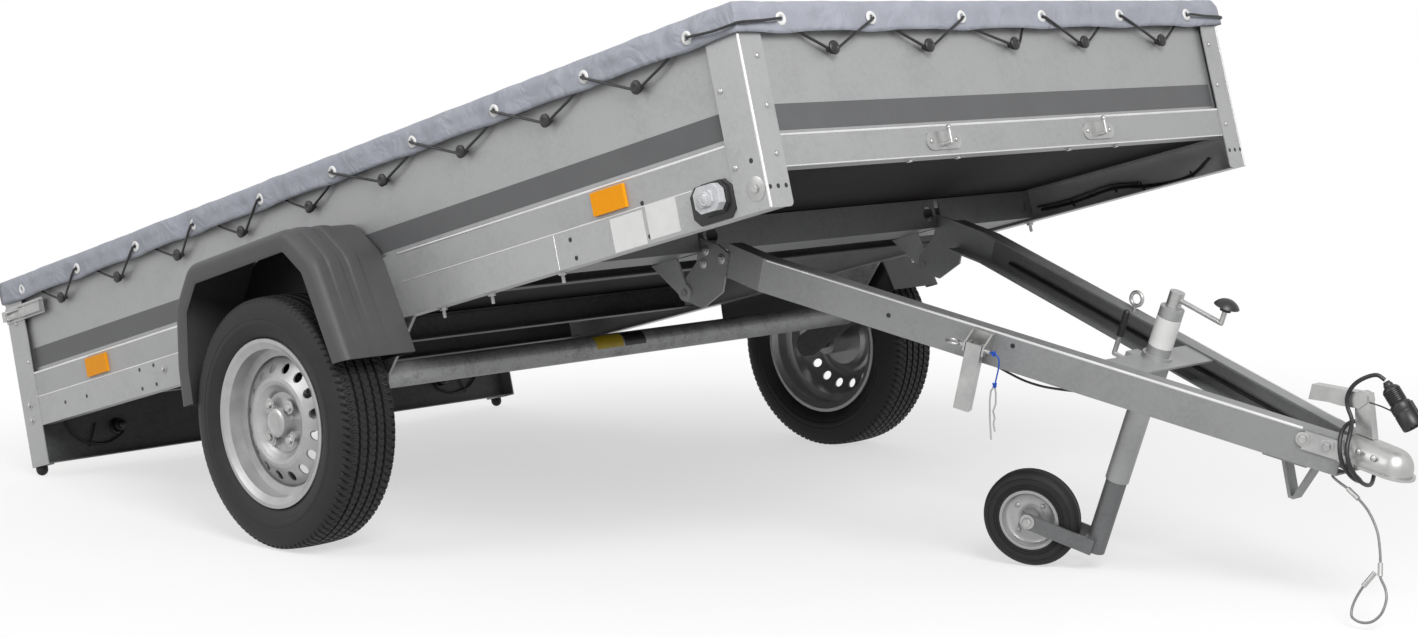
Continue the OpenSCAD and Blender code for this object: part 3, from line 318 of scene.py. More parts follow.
# Radius that stands for a point on the axis of a turned shape
AXIS = 0.01


def lathe(profile, place, sides=24):
    """Turns (radius, height) points, in millimetres, about the z axis of place; AXIS closes an end."""
    corners = [at(place, x, y, h) for r, h in profile for x, y in round_places(r, sides)]
    return corners, grid(len(profile), sides, True)


def slab(low, high, place):
    """A box between two corners of a frame, in millimetres."""
    corners = [at(place, *corner) for corner in itertools.product(*zip(low, high))]
    return corners, [(0, 1, 3, 2), (4, 6, 7, 5), (0, 4, 5, 1), (2, 3, 7, 6), (0, 2, 6, 4), (1, 5, 7, 3)]


def joined(shapes):
    corners, faces = [], []
    for c, f in shapes:
        start = len(corners)
        corners += c
        faces += [tuple(i + start for i in face) for face in f]
    return corners, faces


def piece(name, shapes, mat, body="chassis"):
    """A mesh object in one finish, riding on a body."""
    corners, faces = joined(shapes)
    mesh = bpy.data.meshes.new(name)
    mesh.from_pydata(corners, [], faces)
    mesh.validate()
    mesh.materials.append(mat)
    obj = bpy.data.objects.new(name, mesh)
    bpy.context.collection.objects.link(obj)
    mesh.shade_smooth()
    mesh.set_sharp_from_angle(angle=math.radians(SHARP_DEGREES))
    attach(obj, body)
    return obj


def edge(obj, width, segments=2):
    bevel = obj.modifiers.new("edge", "BEVEL")
    bevel.width = width * MM
    bevel.segments = segments
    bevel.limit_method = "ANGLE"
    bevel.angle_limit = math.radians(SHARP_DEGREES)
    bevel.harden_normals = True


# Fasteners: an upright place stands on the surface with its z axis outwards
# Quarter turns about x and about y that bring the z axis to each direction
OUTWARD = {"x": (0, 1), "-x": (0, -1), "y": (-1, 0), "-y": (1, 0), "z": (0, 0), "-z": (2, 0)}


def upright(place, x, y, z, outward):
    about_x, about_y = OUTWARD[outward]
    turn = Matrix.Rotation(about_y * math.pi / 2, 4, "Y") @ Matrix.Rotation(about_x * math.pi / 2, 4, "X")
    return place @ shift(x, y, z) @ turn


def rivet(place, r=5):
    base = 0.8
    dome = [(0.8 * r, 0.35 * r + base), (0.4 * r, 0.5 * r + base), (AXIS, 0.55 * r + base)]
    return lathe([(r, 0), (r, base)] + dome, place, 16)


def bolt(place, r=7):
    washer = lathe([(1.7 * r, 0), (1.7 * r, 1.2), (1.6 * r, 1.6), (0.9 * r, 1.6)], place, 24)
    head = lathe([(r * 1.08, 1.6), (r * 1.08, 0.75 * r), (r * 0.9, 0.9 * r), (AXIS, 0.9 * r)], place, 6)
    return joined([washer, head])


def stud(place):
    """Washer and nut on a threaded end that stands out."""
    thread = [(4, 5)] + [(4 - 0.5 * (k % 2), 5 + k) for k in range(1, 18)] + [(3, 23), (AXIS, 23)]
    return joined([bolt(place, 8), lathe(thread, place, 12)])


def hook_cap(place):
    """Rounded button of a lacing hook, with a dimple."""
    button = [(10.2, 14.2), (13, 14.4), (14, 16), (13.6, 18.6), (11, 20.8), (6.5, 21.4), (5, 20),
              (AXIS, 19.6)]
    return lathe(button, place, 24)


# A black disc on the surface: painted shade standing for a hole
def hole_shade(place, r=4):
    return lathe([(r, 0.15), (AXIS, 0.15)], place, 16)


# Cords: their routes are those of part.scad, smoothed
def cable_piece(name, route, radius, mat):
    line = smooth(route)
    obj = piece(name, [tube(line, radius * MM)], mat, "drawbar")
    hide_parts(name.replace("_sleeve", ""))
    length = sum((b - a).length for a, b in zip(line, line[1:]))
    return obj, line, length


def make_cords():
    plug_route = [
        (-16, 20, -4.4), (6, 18, -5), (28, 2, -6), (28, -36, 8), (16, -61, 34), (2, -61, 64), (-8, -44, 88),
        (-13, -10, 97), (-10, 28, 92), (2, 57, 70), (14, 61, 38), (30, 42, 6), (46, 6, -6), (46, -34, 6),
        (32, -60, 34), (18, -61, 62), (8, -45, 88), (-6, -24, 106), (-22, -20, 124), (-28, -20, 142),
        (-22, -20, 166), (-6, -19, 186), (14, -13, 199), (30, -8, 194.6)]
    points = [at(BAR, BEAM_LEN + x, y, BEAM_BOTTOM + z) for x, y, z in plug_route]
    cable, line, length = cable_piece("plug_cable_sleeve", points, 4, black_plastic)
    make_plug()

    start = Vector((BEAM_LEN, -39, BEAM_BOTTOM))
    height = at(BAR, *start).z / MM
    # Columns: steps forward and sideways, and share of the height above the ground
    shares = [
        (8, 0, 0.95), (25, -3, 0.92), (48, -6, 0.86), (72, -11, 0.78), (94, -20, 0.66), (104, -28, 0.54),
        (108, -33, 0.45), (111, -39, 0.36), (126, -48, 0.29), (133, -56, 0.22), (130, -67, 0.13),
        (116, -73, 0.07), (98, -75, 0.05), (80, -73, 0.06), (70, -68, 0.09), (70, -58, 0.17), (82, -47, 0.28),
        (100, -38, 0.38)]
    root = start + Vector((-8, 2, 0))
    points = [at(BAR, *root), at(BAR, root.x, root.y, root.z - 5)]
    foot = at(BAR, *start)
    points += [foot + Vector((forward, side, (share - 1) * height)) * MM for forward, side, share in shares]
    cable, line, length = cable_piece("safety_cable_sleeve", points, 2.5, wire_rope)
    ferrule_r = 4.8 * MM
    ferrules = []
    for i, j in ((3, 4), (8, 9), (19, 18)):
        a, b = points[i], points[j]
        ferrules.append(tube([a, a.lerp(b, 0.15), a.lerp(b, 0.85), b], ferrule_r, 12))
    sleeves = piece("safety_ferrules", ferrules, zinc, "drawbar")

    lock_x, lock_out = 616, 0.3
    lock = BAR @ shift(lock_x, -beam_half(lock_x) - lock_out, BEAM_TOP) @ Matrix.Rotation(BEAM_SKEW, 4, "Z")
    pin_end = Vector((32, -36, -34))
    route = [(0, 0, 0), (10, -1, 1), (20, -1, -6), (23, 0, -20), (23, 1, -40), (22, 2, -64)]
    points = [at(lock, *(pin_end + Vector(p))) for p in route]
    lanyard, line, length = cable_piece("lanyard_sleeve", points, 1.5, blue_cord)
    knots = [at(lock, *(pin_end + Vector(p))) for p in ((8, -1, 1), (22, 2, -60))]
    knot = piece("lanyard_knots", [knot_shape(k) for k in knots], blue_cord, "drawbar")


# Plug with a ribbed grip, a collar and pins in a recessed face, hung on its tie
def make_plug():
    plug_lean, tie_r = math.radians(39.5), 1.5 * MM
    pivot = BAR @ shift(BEAM_LEN - 4, 0, 205)
    place = pivot @ shift(37, -8, 48) @ turn_y(math.pi / 2 + plug_lean)
    profile = [(AXIS, 0), (6.5, 0), (7.5, 4), (9, 5), (9.5, 10), (14, 13), (16.4, 17)]
    for k in range(7):
        profile += [(17, 18.5 + 3.6 * k), (17, 20.4 + 3.6 * k), (15.6, 21 + 3.6 * k), (15.6, 21.6 + 3.6 * k)]
    profile += [(17, 45), (19.4, 47), (20, 49), (20, 62), (19.2, 63), (19.2, 65), (20, 66), (20, 92),
                (19, 95.5), (17.6, 96), (17.2, 95), (17.2, 86), (AXIS, 86)]
    shapes = [lathe(profile, place, 40)]
    pin = [(2.6, 86), (2.6, 93), (1.8, 94), (AXIS, 94)]
    shapes += [lathe(pin, place @ shift(x, y, 0), 12) for x, y in round_places(10, 6)]
    shapes.append(slab((-23.5, -5, 52), (-18, 5, 95), place))
    tie = [at(pivot, 16.3 + 8 * k, -8, 1.5 * math.sin(k * math.pi / 6)) for k in range(7)]
    shapes.append(tube(tie, tie_r, 8))
    plug = piece("plug_body", shapes, black_plastic, "drawbar")
    edge(plug, 0.4)
    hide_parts("plug")
    return plug


def knot_shape(middle):
    """An overhand knot as a small trefoil of cord."""
    turns, size, cord_r = 36, 1.6 * MM, 1.4 * MM
    line = []
    for i in range(turns + 1):
        a = 2 * math.pi * i / turns
        loop = (math.sin(a) + 2 * math.sin(2 * a), -math.sin(3 * a), math.cos(a) - 2 * math.cos(2 * a))
        line.append(middle + Vector(loop) * size)
    return tube(line, cord_r, 8)


# Cover: one sheet over the walls with skirts on the sides and the front, and a flap over the tailgate
SIDE_EYELETS = (1287, 995, 720, 449, 163, -114, -388, -644, -919, -1190)
SIDE_HOOKS = tuple(1129 - 268.5 * i for i in range(9))
FRONT_EYELETS = (-661, -407, -132, 132, 407, 661)
FRONT_HOOKS = (-527, -246, 27, 266, 549)
# Steps down the skirt: distance out from the rim, and drop
SKIRT_STEPS = ((0.0, 3), (2.6, 1.2), (COVER_OUT, -4), (COVER_OUT + 0.6, -14), (COVER_OUT + 0.6, -24),
               (COVER_OUT + 0.6, -36), (COVER_OUT + 1.4, -40), (COVER_OUT + 1.4, -50), (COVER_OUT + 1.2, -59))
SKIRT_FALL, PULL_REACH, SKIRT_LIFT, CRUMPLE, RIM_WAVE = 55, 55, 1.5, 9, 3
COVER_LIFT, COVER_SAG, CLOTH_T = 2.9, 14, 1.2


def nearness(value, places, reach):
    return max(math.exp(-((value - p) / reach) ** 2) for p in places)


def wrinkle(x, y, size=90.0):
    return noise.noise(Vector((x / size, y / size, 3.7)))


def rim_wave(x, y):
    return RIM_WAVE * abs(wrinkle(x, y, 75))


def skirt_point(x, y, out_x, out_y, drop, out, eyelets, along):
    """A point of the skirt below the edge (x, y): close to the wall at the eyelets, off it between them."""
    pull = nearness(along, eyelets, PULL_REACH)
    low = min(1.0, max(0.0, -drop / SKIRT_FALL))
    stand = out + low * (3.2 * (1 - pull) + 2.2 * wrinkle(along, 40 * low, 60))
    stand += 1.6 * pull * low * (1 - low) * 4 * math.sin(along / 9)
    # Sharp crumples: slanted folds near the rim that die away towards the hem
    broad = abs(wrinkle(along + 26 * low, 30 * low, 46))
    narrow = abs(wrinkle(along - 34 * low, 22 * low + 300, 27))
    stand += CRUMPLE * (broad + 0.6 * narrow) * ease(low, 0, 0.25) * (1 - 0.75 * ease(low, 0.3, 1))
    rise = 3.5 * (1 - pull) * low + rim_wave(x, y) * (1 - ease(low, 0, 0.3))
    return at(BED, x + out_x * stand, y + out_y * stand, WALL_TOP + SKIRT_LIFT + drop + rise)


def make_cover():
    rows, cols = 230, 96
    front, rear, half = BED_FRONT - 1, BED_REAR - 1, BED_HALF - 1
    xs = [rear + (front - rear) * i / rows for i in range(rows + 1)]
    ys = [-half + 2 * half * j / cols for j in range(cols + 1)]
    corners = []
    for i, x in enumerate(xs):
        for j, y in enumerate(ys):
            inside = (1 - (2 * j / cols - 1) ** 2) * (1 - (2 * i / rows - 1) ** 4)
            waves = 2.5 * wrinkle(x, y, 260) + 0.9 * wrinkle(x, y)
            sag = inside * (waves - COVER_SAG)
            corners.append(at(BED, x, y, WALL_TOP + COVER_LIFT + sag + rim_wave(x, y)))
    faces = [(a, d, c, b) for a, b, c, d in grid(rows + 1, cols + 1)]
    # The rim runs along the right side, the front and the left side
    rim = [(i, 0) for i in range(rows + 1)] + [(rows, j) for j in range(1, cols + 1)]
    rim += [(i, cols) for i in range(rows - 1, -1, -1)]
    above = [i * (cols + 1) + j for i, j in rim]
    for out, drop in SKIRT_STEPS:
        ring = []
        for i, j in rim:
            out_x = 1 if i == rows else 0
            out_y = -1 if j == 0 else 1 if j == cols else 0
            on_front = i == rows and 0 < j < cols
            places, along = (FRONT_EYELETS, ys[j]) if on_front else (SIDE_EYELETS, xs[i])
            ring.append(len(corners))
            corners.append(skirt_point(xs[i], ys[j], out_x, out_y, drop, out, places, along))
        faces += [(above[k], ring[k], ring[k + 1], above[k + 1]) for k in range(len(rim) - 1)]
        above = ring
    cover = piece("cover_sheet", [(corners, faces)], cover_fabric)
    thicken(cover, CLOTH_T)
    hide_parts("cover")
    proud = COVER_OUT + 1.2
    eyelets = [eyelet(upright(BED, x, s * (BED_HALF + proud), EYELET_Z, side))
               for x in SIDE_EYELETS for s, side in SIDES]
    eyelets += [eyelet(upright(BED, BED_FRONT + proud, y, EYELET_Z + 2, "x")) for y in FRONT_EYELETS]
    rings = piece("cover_eyelets", eyelets, white_label)


def thicken(obj, thickness):
    shell = obj.modifiers.new("thickness", "SOLIDIFY")
    shell.thickness = thickness * MM
    shell.offset = -1


def eyelet(place):
    ring = [(5.5, 2.4), (6.5, 3.4), (9, 4.0), (12, 3.2), (13.5, 1.6), (13.5, 0.2), (5.5, 0.2), (5.5, 2.4)]
    return lathe(ring, place, 28)


FLAP_EYELETS = (-700, -420, -140, 140, 420, 700)
FLAP_HOOKS = tuple(share * 732 for share in (-0.8, -0.4, 0, 0.4, 0.8))


def make_flap():
    cols = 64
    half = BED_HALF + COVER_OUT
    corners = []
    for out, drop in SKIRT_STEPS:
        for j in range(cols + 1):
            y = -half + 2 * half * j / cols
            corners.append(skirt_point(BED_REAR - 1, y, -1, 0, drop, out, FLAP_EYELETS, y))
    flap = piece("cover_flap_sheet", [(corners, grid(len(SKIRT_STEPS), cols + 1))], cover_fabric)
    thicken(flap, CLOTH_T)
    fine = flap.modifiers.new("fine", "SUBSURF")
    fine.levels = fine.render_levels = 1
    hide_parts("cover_rear_flap")
    eyelets = [eyelet(upright(BED, BED_REAR - COVER_OUT - 2.2, y, EYELET_Z, "-x")) for y in FLAP_EYELETS]
    rings = piece("flap_eyelets", eyelets, white_label)
    runs = [lace_run("-x", stops) for stops in zip(FLAP_EYELETS, FLAP_HOOKS, FLAP_EYELETS[1:])]
    laces = piece("flap_lacing", runs, black_plastic)
    for obj in (flap, rings, laces):
        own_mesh(obj)


# Elastic lacing: from an eyelet down round a hook and up again
LACE_R = 2.8


def lace_point(side, along, z, out):
    if side == "x":
        return at(BED, BED_FRONT + out, along, z)
    if side == "-x":
        return at(BED, BED_REAR - out, along, z)
    sign = 1 if side == "y" else -1
    return at(BED, along, sign * (BED_HALF + out), z)


def lace_run(side, stops):
    """Cord from one stop round the hook to the last; a stop in a tuple of its own lies under the skirt."""
    wall = -2.0 if side != "-x" else 12.0
    hook = stops[1]
    points = []
    for end in (stops[0], stops[2]):
        under = isinstance(end, tuple)
        along = end[0] if under else end
        toward = 1 if along > hook else -1
        arm = [(along, EYELET_Z, COVER_OUT + 2), (along - toward * 8, EYELET_Z - 4, COVER_OUT + 8)]
        if under:
            arm = [(along, SKIRT_LOW + 22, -2), (along - toward * 16, SKIRT_LOW + 2, -1)]
        arm += [(hook + toward * 20, HOOK_Z + 2, wall + 3), (hook + toward * 8, HOOK_Z - 6, wall)]
        points.append(arm)
    route = points[0] + [(hook, HOOK_Z - 9, wall)] + points[1][::-1]
    return wire([lace_point(side, *p) for p in route], LACE_R)


def make_lacing():
    runs = []
    for sign in ("-y", "y"):
        for i, hook in enumerate(SIDE_HOOKS):
            if i < 4:
                stops = [SIDE_EYELETS[i + 1], hook, (hook + 112,)]
            elif i == 4:
                stops = [(hook - 100,), hook, (hook + 100,)]
            else:
                stops = [(hook - 105,), hook, SIDE_EYELETS[i]]
            runs.append(lace_run(sign, stops))
    for i, hook in enumerate(FRONT_HOOKS):
        if i < 2:
            stops = [(hook - 98,), hook, FRONT_EYELETS[i + 1]]
        elif i == 2:
            stops = [(hook - 130,), hook, (hook + 58,)]
        else:
            stops = [FRONT_EYELETS[i], hook, (hook + 84,)]
        runs.append(lace_run("x", stops))
    side_y, front_x = BED_HALF + COVER_OUT + 4, BED_FRONT + COVER_OUT + 4
    # Round the front corners; heights are from the eyelets
    corner = [(1287, side_y - 2, 0), (1300, side_y + 6, -1), (1360, side_y + 7, -7), (1408, side_y + 7, -8),
              (front_x + 7, side_y - 6, -6), (front_x + 7, 720, -3), (front_x + 6, 674, 1),
              (front_x - 2, 661, 2)]
    for sign in (-1, 1):
        runs.append(wire([at(BED, x, sign * y, EYELET_Z + z) for x, y, z in corner], LACE_R))
    piece("cover_lacing", runs, black_plastic)


# Road tyres: crowned tread with four zigzag grooves, slanted sipes and shoulder cuts, over ribbed sidewalls
TYRE_R, CROWN_HALF = 273.5, 44
PITCHES, STEPS_PER_PITCH, ZIGZAG, SLANT, CROWN_DROP = 104, 8, 0.9, 22, 1.2
# Shares of a pitch and depths of the cuts in the shoulders, which start at SHOULDER_Y, and of the sipes
SHOULDER_Y, SHOULDER_CUT, SIPE_CUT = 40, (0.25, 4.5), (0.125, 3.0)
# Columns: distance from the middle plane and drop below the crown; the tread's cuts end at CUT_DROP
SHOULDER = (
    (44, 1.4), (50, 1.8), (56, 2.4), (60, 3.0), (63, 4.6), (66, 8), (68, 12), (68.8, 13), (70.4, 17.5),
    (72.4, 24), (74.2, 31), (74.4, 33), (75.4, 39), (76, 47), (75.2, 48), (75.2, 49.5), (75.9, 50.5),
    (75.4, 58), (74.2, 64), (73.4, 65), (73.4, 67), (72.8, 69), (69.8, 77), (65.6, 83.4), (61.5, 88),
    (58.4, 91), (57.2, 94))
CUT_DROP = 8
GROOVES = (-33, -11.5, 11.5, 33)
# Columns: place across a groove, its depth there and the share of a sipe
GROOVE_STEPS = ((-6, 0, 1), (-3.5, 0, 0), (-2.5, 6.5, 0), (2.5, 6.5, 0), (3.5, 0, 0), (6, 0, 1))


def tread_profile():
    """Points across the tyre: place, drop, cut depth of a groove, share of a sipe, sway of the zigzag."""
    points = [(middle + across, 0, depth, sipe, 1)
              for middle in GROOVES for across, depth, sipe in GROOVE_STEPS]
    points += [(y, 0, 0, 1, 0) for y in (-26, -22, -18, -4, 0, 4, 18, 22, 26)]
    wall = [(y, drop, 0, int(drop <= CUT_DROP), 0) for y, drop in SHOULDER]
    return [(-y, *rest) for y, *rest in reversed(wall)] + sorted(points) + wall


def make_tyre(name, node, joint, body):
    middle = joint_place(joint)
    profile = tread_profile()
    count = PITCHES * STEPS_PER_PITCH
    corners = []
    for k in range(count):
        a = 2 * math.pi * k / count
        phase = (k % STEPS_PER_PITCH) / STEPS_PER_PITCH
        zigzag = ZIGZAG * (1 - 4 * abs(phase - 0.5))
        for y, drop, groove, sipe, sway in profile:
            slant = (phase + y / SLANT) % 1
            wide, deep = SHOULDER_CUT if abs(y) > SHOULDER_Y else SIPE_CUT
            cut = max(groove, deep * sipe if slant < wide else 0.0)
            crown = CROWN_DROP * (y / CROWN_HALF) ** 2 if abs(y) < CROWN_HALF else 0.0
            r = (TYRE_R - drop - crown - cut) * MM
            corners.append(middle + Vector((r * math.cos(a), (y + sway * zigzag) * MM, r * math.sin(a))))
    total = len(corners)
    faces = [(a, d % total, c % total, b) for a, b, c, d in grid(count + 1, len(profile))]
    obj = piece(name, [(corners, faces)], tyre_rubber, body)
    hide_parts(node)


# Mudguards: a thin moulding swept along the arch, with a rounded outer edge, a lip and two ribs over the top
# Columns: shares of the reach and of the top
GUARD_SHARES = ((-0.94, 0.22), (-0.92, 0.44), (-0.81, 0.79), (-0.58, 0.99), (0.6, 1), (0.83, 0.8), (1, 0.24),
                (1, 0.22))
GUARD_REACH, GUARD_TOP, GUARD_OUT, GUARD_LIP, GUARD_ROUND = 318, 386, 182, 42, 16
GUARD_T = 3.5
RIB_YS, RIB_W, RIB_H, RIB_X = (62, 112), 34, 3, 60
LINER_IN, LINER_OUT = 0.6, 3.0


def arch_path(inset):
    """The arch moved inwards, with its corners rounded; each inset gives the same number of points."""
    base = [Vector((a * GUARD_REACH, b * GUARD_TOP)) for a, b in GUARD_SHARES[:-1]]
    lines = []
    for a, b in zip(base, base[1:]):
        along = (b - a).normalized()
        normal = Vector((along.y, -along.x))
        lines.append((a + normal * inset, along))
    corners = [lines[0][0]]
    for (a, u), (b, v) in zip(lines, lines[1:]):
        t = ((b - a).x * v.y - (b - a).y * v.x) / (u.x * v.y - u.y * v.x)
        corners.append(a + u * t)
    last, along = lines[-1]
    corners.append(last + along * ((GUARD_SHARES[-1][1] * GUARD_TOP - last.y) / along.y))
    corners[0] = corners[0] + lines[0][1] * ((GUARD_SHARES[0][1] * GUARD_TOP - corners[0].y) / lines[0][1].y)
    path = [corners[0]]
    radius = max(22 - 0.4 * inset, 6)
    for a, b, c in zip(corners, corners[1:], corners[2:]):
        reach = min(radius, 0.4 * (a - b).length, 0.4 * (c - b).length)
        start, end = b + (a - b).normalized() * reach, b + (c - b).normalized() * reach
        path.append(start.lerp(path[-1], 0.5))
        for k in range(7):
            t = k / 6
            path.append(start * (1 - t) ** 2 + b * 2 * t * (1 - t) + end * t * t)
    path.append(corners[-1].lerp(path[-1], 0.5))
    return path + [corners[-1]]


def ease(value, low, high):
    t = min(1.0, max(0.0, (value - low) / (high - low)))
    return t * t * (3 - 2 * t)


def make_mudguard(name, node, side):
    flat = [0, 24, 48] + [y + d for y in RIB_YS for d in (-3, 0, 3, 6, 17, 28, 31, 34, 37)]
    rows = [(0.0, y) for y in flat if y < GUARD_OUT - GUARD_ROUND - 1]
    for k in range(8):
        a = k * math.pi / 14
        rows.append((GUARD_ROUND * (1 - math.cos(a)), GUARD_OUT - GUARD_ROUND * (1 - math.sin(a))))
    rows += [(22, GUARD_OUT), (32, GUARD_OUT - 0.6), (38, GUARD_OUT - 1.2), (GUARD_LIP, GUARD_OUT - 3)]
    corners = []
    for inset, y in rows:
        path = arch_path(inset)
        for q in path:
            rise = sum(ease(y, r, r + 4) * (1 - ease(y, r + RIB_W - 4, r + RIB_W)) for r in RIB_YS)
            rise *= ease(q.x, RIB_X, RIB_X + 20) * ease(q.y, 0.56 * GUARD_TOP, 0.62 * GUARD_TOP)
            lift = (q - Vector((RIB_X, 150))).normalized() * RIB_H * rise
            corners.append(at(BED, q.x + lift.x, side * (LOWER_HALF + y), q.y + lift.y))
    n = len(path)
    faces = [(a, d, c, b) if side > 0 else (b, c, d, a) for a, b, c, d in grid(len(rows), n)]
    guard = piece(name, [(corners, faces)], grey_plastic)
    thicken(guard, GUARD_T)
    edge(guard, 0.8)
    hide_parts(node)
    # Black liner between the arch and the wall, with pressed ribs
    path = arch_path(2)
    rim = [at(BED, q.x, side * (LOWER_HALF + out), q.y) for out in (LINER_IN, LINER_OUT) for q in path]
    skin = [tuple(range(n)), tuple(reversed(range(n, 2 * n)))]
    skin += [(a, d, c, b) for a, b, c, d in grid(2, n, True)]
    ribs = []
    for x in (-240, -170, -100, 100, 170, 240):
        low, high = sorted((side * (LOWER_HALF + 2), side * (LOWER_HALF + 5)))
        ribs.append(slab((x - 6, low, 100), (x + 6, high, 300 - 0.5 * abs(x)), BED))
    edge(piece(name + "_liner", [(rim, skin)] + ribs, black_plastic), 1.0)


# Valves, wheel bolts and hub caps of the rims
def make_wheel_trim(name, joint, body, out):
    middle = Matrix.Translation(joint_place(joint))
    face = "y" if out > 0 else "-y"
    valve_r, valve_angle, valve_out, bolt_circle, bolt_out, bolt_r = 150, 0.55, 24, 50, 38, 8.5
    (x, z), = round_places(valve_r, 1, valve_angle)
    valve = upright(middle, x, out * valve_out, z, face)
    stem = lathe([(6, 0), (6, 6), (4, 10), (3.6, 28), (4.4, 29), (4.4, 38), (AXIS, 39)], valve, 16)
    piece(name + "_valve", [stem], black_plastic, body)
    places = round_places(bolt_circle, 4, math.pi / 4)
    shapes = [bolt(upright(middle, x, out * bolt_out, z, face), bolt_r) for x, z in places]
    cap = [(31, 47), (31.6, 49), (29, 52), (20, 53.5), (18, 52.5), (AXIS, 52.5)]
    shapes.append(lathe(cap, upright(middle, 0, 0, 0, face), 40))
    piece(name + "_bolts", shapes, zinc, body)


# Flat trim: dark stripes on the walls and blank labels
STRIPE_T, STRIPE_H, STRIPE_Z, FRONT_STRIPE_Z = 0.4, 50, 307, 304


def make_trim():
    rear, front = BED_REAR + 81, BED_FRONT - 84
    stripes = []
    for s in (-1, 1):
        low, high = sorted((s * UPPER_HALF, s * (UPPER_HALF + STRIPE_T)))
        stripes.append(slab((rear, low, STRIPE_Z), (front, high, STRIPE_Z + STRIPE_H), BED))
    end, top = BED_HALF - 61, FRONT_STRIPE_Z + STRIPE_H
    stripes.append(slab((FRONT_UPPER, -end, FRONT_STRIPE_Z), (FRONT_UPPER + STRIPE_T, end, top), BED))
    piece("wall_stripes", stripes, stripe_grey)
    face, back = -LOWER_HALF - 0.5, -LOWER_HALF - 0.1
    labels = [slab((982, face, 163), (1074, back, 229), BED), slab((1084, face, 168), (1168, back, 233), BED)]
    piece("rail_labels", labels, white_label)
    piece("axle_label_yellow", [wrap_label(-146, -60)], yellow_label)
    piece("axle_label_black", [wrap_label(-56, 12)], black_label)
    band = [(24.05, 22), (24.4, 22.4), (24.4, 82), (24.05, 82.4)]
    piece("jack_band", [lathe(band, JACK, 48)], white_label, "drawbar")


# Front marker lamps: a stepped base with cut corners and a ringed lens
def make_markers():
    # Columns: half length, half height, corner cut, reach and middle of each ring of the base
    rings = ((56, 37, 16, 0.2, 1266, 201), (56, 37, 16, 3.4, 1266, 201), (54.5, 35.5, 15.5, 4, 1266, 201),
             (39, 31, 14.6, 4, 1273, 208), (38.6, 30.6, 14.6, 8.6, 1273, 208),
             (31.5, 24.8, 12, 8.6, 1273, 208), (31.5, 24.8, 12, 6, 1273, 208))
    optic = [(13, 0), (13, 1.4), (11.5, 2), (10.5, 1.2), (7, 2.4), (3, 3.2), (AXIS, 3.4)]
    lens_x, lens_z, lens_out = 1273, 208, 31
    bases, bulbs = [], []
    for s, side in SIDES:
        base = []
        for w, h, c, out, x, z in rings:
            base += [at(BED, x + dx, s * (LOWER_HALF + out), z + dz) for dx, dz in eight(w, h, c)]
        bases.append((base, grid(len(rings), 8, True)))
        bulbs.append(lathe(optic, upright(BED, lens_x, s * (LOWER_HALF + lens_out), lens_z, side), 28))
    edge(piece("marker_bases", bases, black_plastic), 0.6)
    piece("marker_optics", bulbs, clear_lens)


def eight(w, h, c):
    """Corners of a rectangle with cut corners, by half sizes."""
    right = [(w - c, -h), (w, -h + c), (w, h - c), (w - c, h)]
    return [(-w + c, -h), *right, (-w + c, h), (-w, h - c), (-w, -h + c)]


# Rounded folds of the sheet: tops of the band and rails, post corners and the beams' upper edges, in a light
# steel that paints their highlight
def make_folds():
    post_x, post_y, joint_x, front_half = BED_FRONT - 2.4, BED_HALF - 2.4, 814, 716
    # Columns: start, end and radius of each run on the left side, which the right side mirrors
    runs = [((post_x, post_y, RAIL_BOTTOM + 2), (post_x, post_y, WALL_TOP - 2), 3.4),
            ((joint_x, LOWER_HALF - 0.4, RAIL_BOTTOM + 2), (joint_x, LOWER_HALF - 0.4, FLOOR_Z - 2), 1.2)]
    for start, end in ((BED_REAR + 42, -302), (322, BED_FRONT - 86)):
        runs.append(((start, LOWER_HALF - 1.5, BAND_TOP - 1.5), (end, LOWER_HALF - 1.5, BAND_TOP - 1.5), 3.2))
        runs.append(((start, LOWER_HALF - 0.6, FLOOR_Z), (min(end, 1215), LOWER_HALF - 0.6, FLOOR_Z), 1.6))
    folds = []
    for (a, b, c), (d, e, f), r in runs:
        folds += [fold(BED, (a, s * b, c), (d, s * e, f), r) for s in (-1, 1)]
    for x, z, r in ((FRONT_LOWER - 1.5, BAND_TOP - 1.5, 3.2), (FRONT_LOWER - 0.6, FLOOR_Z + 1.5, 1.6)):
        folds.append(fold(BED, (x, -front_half, z), (x, front_half, z), r))
    piece("sheet_folds", folds, fold_highlight_steel)
    rear_x, rear_y, nose_x, nose_y, top = BEND_X + 6, BEAM_REAR_HALF - 3.6, BEAM_LEN - 76, 63, BEAM_TOP - 2
    edges = [fold(BAR, (rear_x, s * rear_y, top), (nose_x, s * nose_y, top), 3.0) for s in (-1, 1)]
    piece("beam_folds", edges, fold_highlight_steel, "drawbar")


def fold(place, start, end, r):
    a, b = Vector(start), Vector(end)
    steps = max(3, int((b - a).length / 60))
    return tube([at(place, *a.lerp(b, k / steps)) for k in range(steps + 1)], r * MM, 10)


